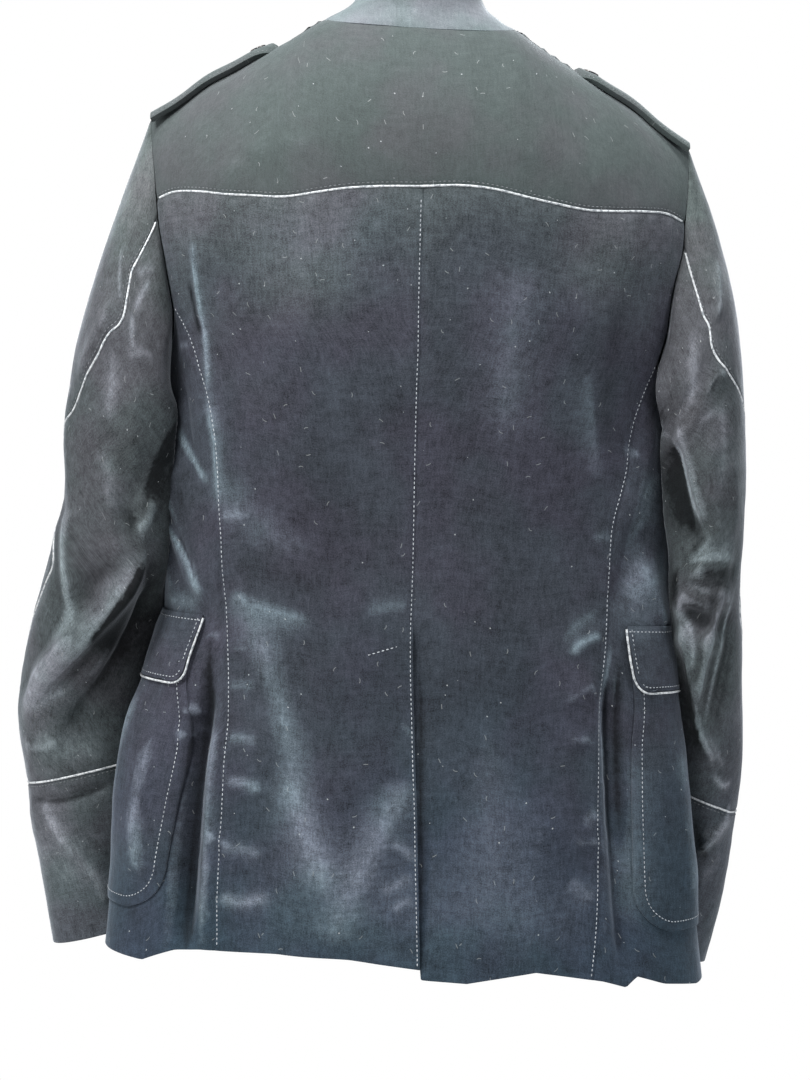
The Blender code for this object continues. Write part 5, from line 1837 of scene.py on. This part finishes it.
def add_bump(tree, height, strength, distance):
    values = {"Height": height, "Strength": strength, "Distance": distance}
    return add_node(tree, "ShaderNodeBump", values).outputs[0]


def new_material(name):
    """A new material with its nodes and its shader."""
    made = bpy.data.materials.new(name)
    made.use_nodes = True
    return made, made.node_tree, made.node_tree.nodes["Principled BSDF"]


def new_finish(name):
    """The same, and the place on the piece."""
    made, tree, shader = new_material(name)
    return made, tree, shader, add_node(tree, "ShaderNodeTexCoord").outputs["Object"]


WHOLE_TURN = 6.2832

# The heights between which the velvet's colour changes, in metres: it is painted paler towards the
# top, as painted light from above.
HIGH_TO_MIDDLE = (-0.10, -0.30)
MIDDLE_TO_LOW = (-0.48, -0.76)

LINT = (0.30, 0.32, 0.33, 1.0)
LOOSE_HAIR = (0.34, 0.36, 0.36, 1.0)


def velvet_nap_and_light_group():
    """The pile of velvet: its drift of tone with painted light from above, its crests painted paler
    by wear and painted sheen, painted shade in its hollows, painted fold highlights and shadows,
    its faint ribs and its lint.
    """
    group = bpy.data.node_groups.new("velvet_nap_and_painted_light", "ShaderNodeTree")
    sockets = group.interface
    for way, kind, names in (
        ("INPUT", "NodeSocketColor", ("High", "Middle", "Low", "Crest", "Hollow")),
        ("INPUT", "NodeSocketFloat", ("Mottle", "Crest Wear And Hollow Shade", "Lint")),
        ("OUTPUT", "NodeSocketColor", ("Colour",)),
        ("OUTPUT", "NodeSocketFloat", ("Roughness", "Height")),
    ):
        for name in names:
            sockets.new_socket(name, in_out=way, socket_type=kind)
    given = add_node(group, "NodeGroupInput").outputs
    out = add_node(group, "NodeGroupOutput")

    place = add_node(group, "ShaderNodeTexCoord").outputs["Object"]
    # Painted light from above: the colour goes from High at the top, painted paler, through Middle
    # down to Low, which is bluer.
    height = add_node(group, "ShaderNodeSeparateXYZ", {0: place}).outputs["Z"]
    drift = add_noise(group, place, 5.0, 2.0)
    wander = add_maths(group, "MULTIPLY_ADD", drift, 0.34, -0.17)
    lowered = add_maths(group, "ADD", height, wander)
    below = add_ramp(group, lowered, *HIGH_TO_MIDDLE)
    colour = add_mix(group, below, given["High"], given["Middle"])
    colour = add_mix(group, add_ramp(group, lowered, *MIDDLE_TO_LOW), colour, given["Low"])

    # Painted highlight and painted shade: fold crests are painted paler, partly as wear and partly
    # as sheen, and hollows are painted darker where shade falls.
    crest = add_node(group, "ShaderNodeAttribute", attribute_name="crest").outputs["Fac"]
    rough_crest = add_maths(group, "MULTIPLY_ADD", add_noise(group, place, 170.0, 4.0), 1.4, -0.7)
    uneven = add_maths(group, "ADD", crest, rough_crest)
    worn_and_lit_crest = add_maths(group, "MULTIPLY", add_ramp(group, uneven, 0.5, 2.6), given["Crest Wear And Hollow Shade"])
    colour = add_mix(group, worn_and_lit_crest, colour, given["Crest"])
    hollow = add_maths(group, "MULTIPLY", add_ramp(group, uneven, -0.4, -2.2), given["Crest Wear And Hollow Shade"])
    colour = add_mix(group, hollow, colour, given["Hollow"])

    # Strokes from the tables: brushed pile, painted highlights along fold edges and painted shadows
    # beside folds and seams.
    brushed_and_painted_light = add_node(group, "ShaderNodeAttribute", attribute_name="brushed_and_painted_light").outputs["Fac"]
    torn = add_maths(group, "MULTIPLY_ADD", add_noise(group, place, 210.0, 4.0, 0.6), 1.6, 0.2)
    laid = add_maths(group, "MULTIPLY", brushed_and_painted_light, torn)
    for key, reach in (("Crest", 1.15), ("Hollow", -1.1)):
        values = {"Value": laid, "From Max": reach}
        share = add_node(group, "ShaderNodeMapRange", values).outputs["Result"]
        colour = add_mix(group, share, colour, given[key])

    cut = add_node(group, "ShaderNodeUVMap", uv_map="cut").outputs[0]
    stretched = add_vectors(group, "MULTIPLY", cut, (1.0, 0.16, 1.0))
    crossed = add_vectors(group, "MULTIPLY", cut, (0.2, 1.0, 1.0))
    ribs = add_noise(group, stretched, 520.0, 2.0, 0.6)
    combed = add_noise(group, stretched, 46.0, 4.0, 0.62)
    rows = add_noise(group, crossed, 300.0, 3.0, 0.6)
    patches = add_noise(group, place, 24.0, 5.0, 0.6)
    crushed = add_noise(group, place, 130.0, 4.0, 0.7)
    pile = add_noise(group, cut, 900.0, 2.0, 0.8)
    shade = add_maths(group, "MULTIPLY", ribs, 1.0)
    parts = ((combed, 0.6), (rows, 0.8), (patches, 0.95), (crushed, 1.3), (pile, 2.6))
    for part, weight in parts:
        shade = add_maths(group, "MULTIPLY_ADD", part, weight, shade)
    evenly = -0.5 * (1.0 + sum(weight for _, weight in parts))
    shade = add_maths(group, "ADD", shade, evenly)
    shade = add_maths(group, "MULTIPLY_ADD", shade, given["Mottle"], 1.0)
    shade = add_maths(group, "MAXIMUM", shade, 0.15)
    tone = add_node(group, "ShaderNodeCombineColor", {0: shade, 1: shade, 2: shade}).outputs[0]
    colour = add_mix(group, 1.0, colour, tone, "MULTIPLY")
    hue = add_ramp(group, add_noise(group, place, 13.0, 3.0), 0.38, 0.64)
    dyed = add_mix(group, hue, (0.95, 1.03, 1.01, 1.0), (1.04, 0.98, 1.03, 1.0))
    colour = add_mix(group, 1.0, colour, dyed, "MULTIPLY")

    specks = add_node(
        group, "ShaderNodeTexVoronoi", {"Vector": cut, "Scale": 95.0, "Randomness": 1.0}
    ).outputs
    kind = add_node(group, "ShaderNodeSeparateColor", {0: specks["Color"]}).outputs[0]
    size = add_ramp(group, kind, 0.35, 1.0, 0.0, 0.06)
    speck = add_maths(group, "LESS_THAN", specks["Distance"], size)
    speck = add_maths(group, "MULTIPLY", speck, given["Lint"])
    colour = add_mix(group, speck, colour, LINT)

    place_of = add_vectors(group, "MULTIPLY", cut, (70.0, 70.0, 0.0))
    hairs = add_node(group, "ShaderNodeTexVoronoi", {"Vector": place_of, "Scale": 1.0}).outputs
    off = add_vectors(group, "SUBTRACT", place_of, hairs["Position"])
    dice = add_node(group, "ShaderNodeSeparateColor", {0: hairs["Color"]}).outputs
    spin = add_maths(group, "MULTIPLY", dice[0], WHOLE_TURN)
    turned = add_node(
        group, "ShaderNodeVectorRotate", {"Vector": off, "Angle": spin}, rotation_type="Z_AXIS"
    ).outputs[0]
    across, along, _ = add_node(group, "ShaderNodeSeparateXYZ", {0: turned}).outputs
    curl = add_maths(group, "MULTIPLY_ADD", dice[1], 6.0, -3.0)
    curl = add_maths(group, "MULTIPLY", curl, add_maths(group, "MULTIPLY", along, along))
    wide = add_maths(group, "ABSOLUTE", add_maths(group, "ADD", across, curl))
    thin = add_ramp(group, wide, 0.028, 0.012)
    short = add_maths(group, "LESS_THAN", add_maths(group, "ABSOLUTE", along), 0.13)
    some = add_maths(group, "GREATER_THAN", dice[2], 0.86)
    hair = add_maths(group, "MULTIPLY", add_maths(group, "MULTIPLY", thin, short), some)
    hair = add_maths(group, "MULTIPLY", hair, given["Lint"])
    hair = add_maths(group, "MULTIPLY", hair, 0.45)
    colour = add_mix(group, hair, colour, LOOSE_HAIR)

    rough = add_ramp(group, patches, 0.3, 0.7, 0.78, 0.92)
    rise = add_maths(group, "MULTIPLY", pile, 0.30)
    for part, weight in ((ribs, 0.28), (combed, 0.9), (crushed, 0.9)):
        rise = add_maths(group, "MULTIPLY_ADD", part, weight, rise)
    set_inputs(group, out, {"Colour": colour, "Roughness": rough, "Height": rise})
    return group


def velvet_finish(name, high, middle, low, crest, hollow, mottle, crest_wear_and_hollow_shade, lint, sheen, tint):
    made, tree, shader = new_material(name)
    pile = add_node(tree, "ShaderNodeGroup")
    pile.node_tree = velvet_nap_and_light
    colours = {"High": high, "Middle": middle, "Low": low, "Crest": crest, "Hollow": hollow}
    set_inputs(tree, pile, {key: (*value, 1.0) for key, value in colours.items()})
    set_inputs(tree, pile, {"Mottle": mottle, "Crest Wear And Hollow Shade": crest_wear_and_hollow_shade, "Lint": lint})
    looks = {
        "Base Color": pile.outputs["Colour"],
        "Roughness": pile.outputs["Roughness"],
        "Normal": add_bump(tree, pile.outputs["Height"], 0.55, 0.0008),
        "Specular IOR Level": 0.12,
        "Sheen Weight": sheen,
        "Sheen Roughness": 0.32,
        "Sheen Tint": (*tint, 1.0),
    }
    set_inputs(tree, shader, looks)
    return made


def backing_finish():
    """The wrong side of the velvet: a plain close weave."""
    made, tree, shader = new_material("velvet_backing")
    cut = add_node(tree, "ShaderNodeUVMap", uv_map="cut").outputs[0]
    warp = {"Vector": cut, "Scale": 380.0, "Distortion": 0.6, "Detail": 1.0}
    down = add_node(tree, "ShaderNodeTexWave", warp, bands_direction="X").outputs["Fac"]
    over = add_node(tree, "ShaderNodeTexWave", warp, bands_direction="Y").outputs["Fac"]
    weave = add_maths(tree, "MULTIPLY", down, over)
    place = add_node(tree, "ShaderNodeTexCoord").outputs["Object"]
    cloudy = add_noise(tree, place, 26.0, 4.0)
    share = add_maths(tree, "MULTIPLY_ADD", weave, 0.5, add_maths(tree, "MULTIPLY", cloudy, 0.5))
    colour = add_mix(tree, share, (0.016, 0.019, 0.026, 1.0), (0.050, 0.057, 0.070, 1.0))
    bump = add_bump(tree, weave, 0.3, 0.0003)
    set_inputs(tree, shader, {"Base Color": colour, "Normal": bump})
    set_inputs(tree, shader, {"Roughness": 0.85, "Specular IOR Level": 0.2})
    return made


def satin_finish():
    """Silvery satin bias tape, with small gathers; its fine slanting threads are not drawn."""
    made, tree, shader, place = new_finish("satin_piping_finish")
    gathers = add_noise(tree, place, 420.0, 3.0, 0.6)
    soil = add_noise(tree, place, 34.0, 4.0, 0.6)
    colour = add_mix(tree, add_ramp(tree, gathers, 0.35, 0.6), SATIN_SHADE, SATIN_LIGHT)
    colour = add_mix(tree, add_ramp(tree, soil, 0.5, 0.8, 0.0, 0.5), colour, SATIN_SOILED)
    rough = add_ramp(tree, gathers, 0.3, 0.7, 0.42, 0.30)
    bump = add_bump(tree, gathers, 0.5, 0.0005)
    looks = {"Base Color": colour, "Roughness": rough, "Normal": bump, "Sheen Weight": 0.3}
    set_inputs(tree, shader, looks)
    return made


def thread_finish(name, dark, light):
    made, tree, shader, place = new_finish(name)
    twist = add_noise(tree, place, 900.0, 2.0)
    older = add_noise(tree, place, 60.0, 3.0)
    share = add_maths(tree, "MULTIPLY_ADD", twist, 0.6, add_maths(tree, "MULTIPLY", older, 0.4))
    colour = add_mix(tree, add_ramp(tree, share, 0.35, 0.65), dark, light)
    set_inputs(tree, shader, {"Base Color": colour, "Roughness": 0.6})
    return made


def horn_finish():
    """Dark polished horn, clouded and streaked."""
    made, tree, shader, place = new_finish("horn_finish")
    streaks = add_vectors(tree, "MULTIPLY", place, (1.0, 1.0, 5.0))
    cloud = add_noise(tree, streaks, 90.0, 5.0, 0.6)
    share = add_ramp(tree, cloud, 0.4, 0.72)
    colour = add_mix(tree, share, (0.011, 0.012, 0.015, 1.0), (0.075, 0.062, 0.05, 1.0))
    rough = add_ramp(tree, cloud, 0.3, 0.7, 0.22, 0.38)
    bump = add_bump(tree, add_noise(tree, streaks, 900.0, 2.0, 0.6), 0.12, 0.0002)
    set_inputs(tree, shader, {"Base Color": colour, "Roughness": rough, "Normal": bump})
    return made


SATIN_LIGHT = (0.60, 0.62, 0.63, 1.0)
SATIN_SHADE = (0.20, 0.22, 0.24, 1.0)
SATIN_SOILED = (0.45, 0.46, 0.45, 1.0)

velvet_nap_and_light = velvet_nap_and_light_group()
# High is painted paler as light from above. Crest is the painted highlight colour of fold crests
# and strokes, partly wear, and Hollow the painted shade colour.
velvet = velvet_finish(
    "velvet_finish",
    high=(0.082, 0.091, 0.094),
    middle=(0.037, 0.040, 0.051),
    low=(0.024, 0.036, 0.050),
    crest=(0.165, 0.198, 0.230),
    hollow=(0.007, 0.008, 0.010),
    mottle=0.9,
    crest_wear_and_hollow_shade=0.6,
    lint=0.9,
    sheen=0.4,
    tint=(0.72, 0.82, 0.95),
)
sleeve_velvet = velvet_finish(
    "sleeve_velvet_finish",
    high=(0.092, 0.103, 0.102),
    middle=(0.053, 0.058, 0.062),
    low=(0.042, 0.051, 0.058),
    crest=(0.185, 0.205, 0.220),
    hollow=(0.008, 0.009, 0.010),
    mottle=0.9,
    crest_wear_and_hollow_shade=0.6,
    lint=0.9,
    sheen=0.4,
    tint=(0.78, 0.84, 0.92),
)
# The yoke and straps: velvet that stays pale all the way down, painted as lit from above, with only
# faint painted shade in its hollows.
yoke_velvet = velvet_finish(
    "yoke_velvet_finish",
    high=(0.064, 0.073, 0.073),
    middle=(0.062, 0.071, 0.074),
    low=(0.07, 0.08, 0.09),
    crest=(0.20, 0.22, 0.23),
    hollow=(0.045, 0.05, 0.055),
    mottle=0.38,
    crest_wear_and_hollow_shade=0.6,
    lint=1.0,
    sheen=0.45,
    tint=(0.78, 0.86, 0.90),
)
# The collar: paler still, painted sheen where its pile, laid another way, catches the light.
collar_velvet = velvet_finish(
    "collar_velvet_finish",
    high=(0.138, 0.157, 0.166),
    middle=(0.12, 0.13, 0.14),
    low=(0.1, 0.11, 0.12),
    crest=(0.25, 0.27, 0.28),
    hollow=(0.08, 0.09, 0.10),
    mottle=0.4,
    crest_wear_and_hollow_shade=0.4,
    lint=0.4,
    sheen=0.7,
    tint=(0.85, 0.92, 0.97),
)
backing = backing_finish()
satin = satin_finish()
thread = thread_finish("pale_thread", (0.22, 0.24, 0.26, 1.0), (0.50, 0.53, 0.56, 1.0))
dull_thread = thread_finish("dull_thread", (0.06, 0.07, 0.075, 1.0), (0.15, 0.16, 0.17, 1.0))
dark_thread = thread_finish("dark_thread", (0.02, 0.02, 0.026, 1.0), (0.07, 0.07, 0.08, 1.0))
horn = horn_finish()


# The jacket.

yoke = build_yoke()
fronts = []
for side in SIGN:
    back, back_shown = build_back(side)
    sidepiece = build_side(side)
    front, front_rows, front_first = build_front(side)
    fronts.append(front)
    loop, loop_normals, seam = armhole_loop(
        side, yoke, back, back_rows_of(side), sidepiece, front, front_rows, front_first
    )
    build_sleeve(side, loop, loop_normals, seam)
    build_epaulette(side)
    build_pocket(side)
    inset = STITCHES_IN["back"]
    seams = [part_of(beside(back_shown, "end", inset), armhole_share(side), 0.99)]
    if side == "left":
        seams.append(part_of(beside(back_shown, "start", inset), 0.02, 0.99))
        seams.append(vent_tack())
    add_stitches(f"back_{side}_stitches", seams)
build_collar(yoke, fronts)
build_buttons()


# The floor, the light and the camera.


def add_floor():
    shape = bmesh.new()
    bmesh.ops.create_grid(shape, x_segments=1, y_segments=1, size=2.5)
    bmesh.ops.translate(shape, verts=shape.verts[:], vec=(0.0, 0.0, -1.5))
    mesh = mesh_of("floor", shape)
    floor = placed("floor", mesh)
    made, tree, shader, place = new_finish("floor_paper")
    cloudy = add_noise(tree, place, 3.0)
    colour = add_mix(tree, cloudy, (0.78, 0.78, 0.78, 1.0), (0.84, 0.84, 0.84, 1.0))
    set_inputs(tree, shader, {"Base Color": colour, "Roughness": 0.9})
    mesh.materials.append(made)


def aim_at(item, place, aim):
    item.location = place
    item.rotation_mode = "QUATERNION"
    item.rotation_quaternion = (Vector(aim) - Vector(place)).to_track_quat("-Z", "Y")


def add_light(name, place, aim, size, power, colour=(1.0, 1.0, 1.0)):
    data = bpy.data.lights.new(name, "AREA")
    data.shape = "DISK"
    data.size = size
    data.energy = power
    data.color = colour
    lamp = placed(name, data)
    aim_at(lamp, place, aim)


def add_world():
    world = bpy.data.worlds.new("pale_studio")
    world.use_nodes = True
    tree = world.node_tree
    tree.nodes.clear()
    seen, soft = (
        add_node(tree, "ShaderNodeBackground", {"Color": colour, "Strength": strength}).outputs[0]
        for colour, strength in (((1.0, 1.0, 1.0, 1.0), 1.0), ((0.93, 0.96, 1.0, 1.0), 0.28))
    )
    ray = add_node(tree, "ShaderNodeLightPath").outputs["Is Camera Ray"]
    mixed = add_node(tree, "ShaderNodeMixShader", {0: ray, 1: soft, 2: seen})
    add_node(tree, "ShaderNodeOutputWorld", {0: mixed.outputs[0]})
    bpy.context.scene.world = world


def add_camera():
    data = bpy.data.cameras.new("camera")
    data.lens = 95.0
    data.sensor_width = 36.0
    data.sensor_fit = "AUTO"
    data.dof.use_dof = False
    camera = placed("camera", data)
    aim_at(camera, (-0.012, -2.315, -0.300), (-0.012, -0.115, -0.413))
    bpy.context.scene.camera = camera


add_floor()
add_light("key", (-1.0, -1.3, 1.5), (0.0, 0.0, -0.3), 0.8, 72.0)
add_light("top", (0.2, -0.3, 1.9), (0.0, 0.0, -0.2), 0.7, 60.0)
add_light("fill", (1.9, -1.0, -0.5), (0.0, 0.0, -0.5), 1.2, 16.0, (0.90, 0.94, 1.0))
add_light("side", (-1.9, -0.9, -0.4), (0.0, 0.0, -0.5), 1.2, 19.0)
add_light("front", (0.6, 2.2, 0.6), (0.0, 0.0, -0.35), 1.6, 30.0)
add_world()
add_camera()
bpy.context.scene.view_settings.view_transform = "Standard"
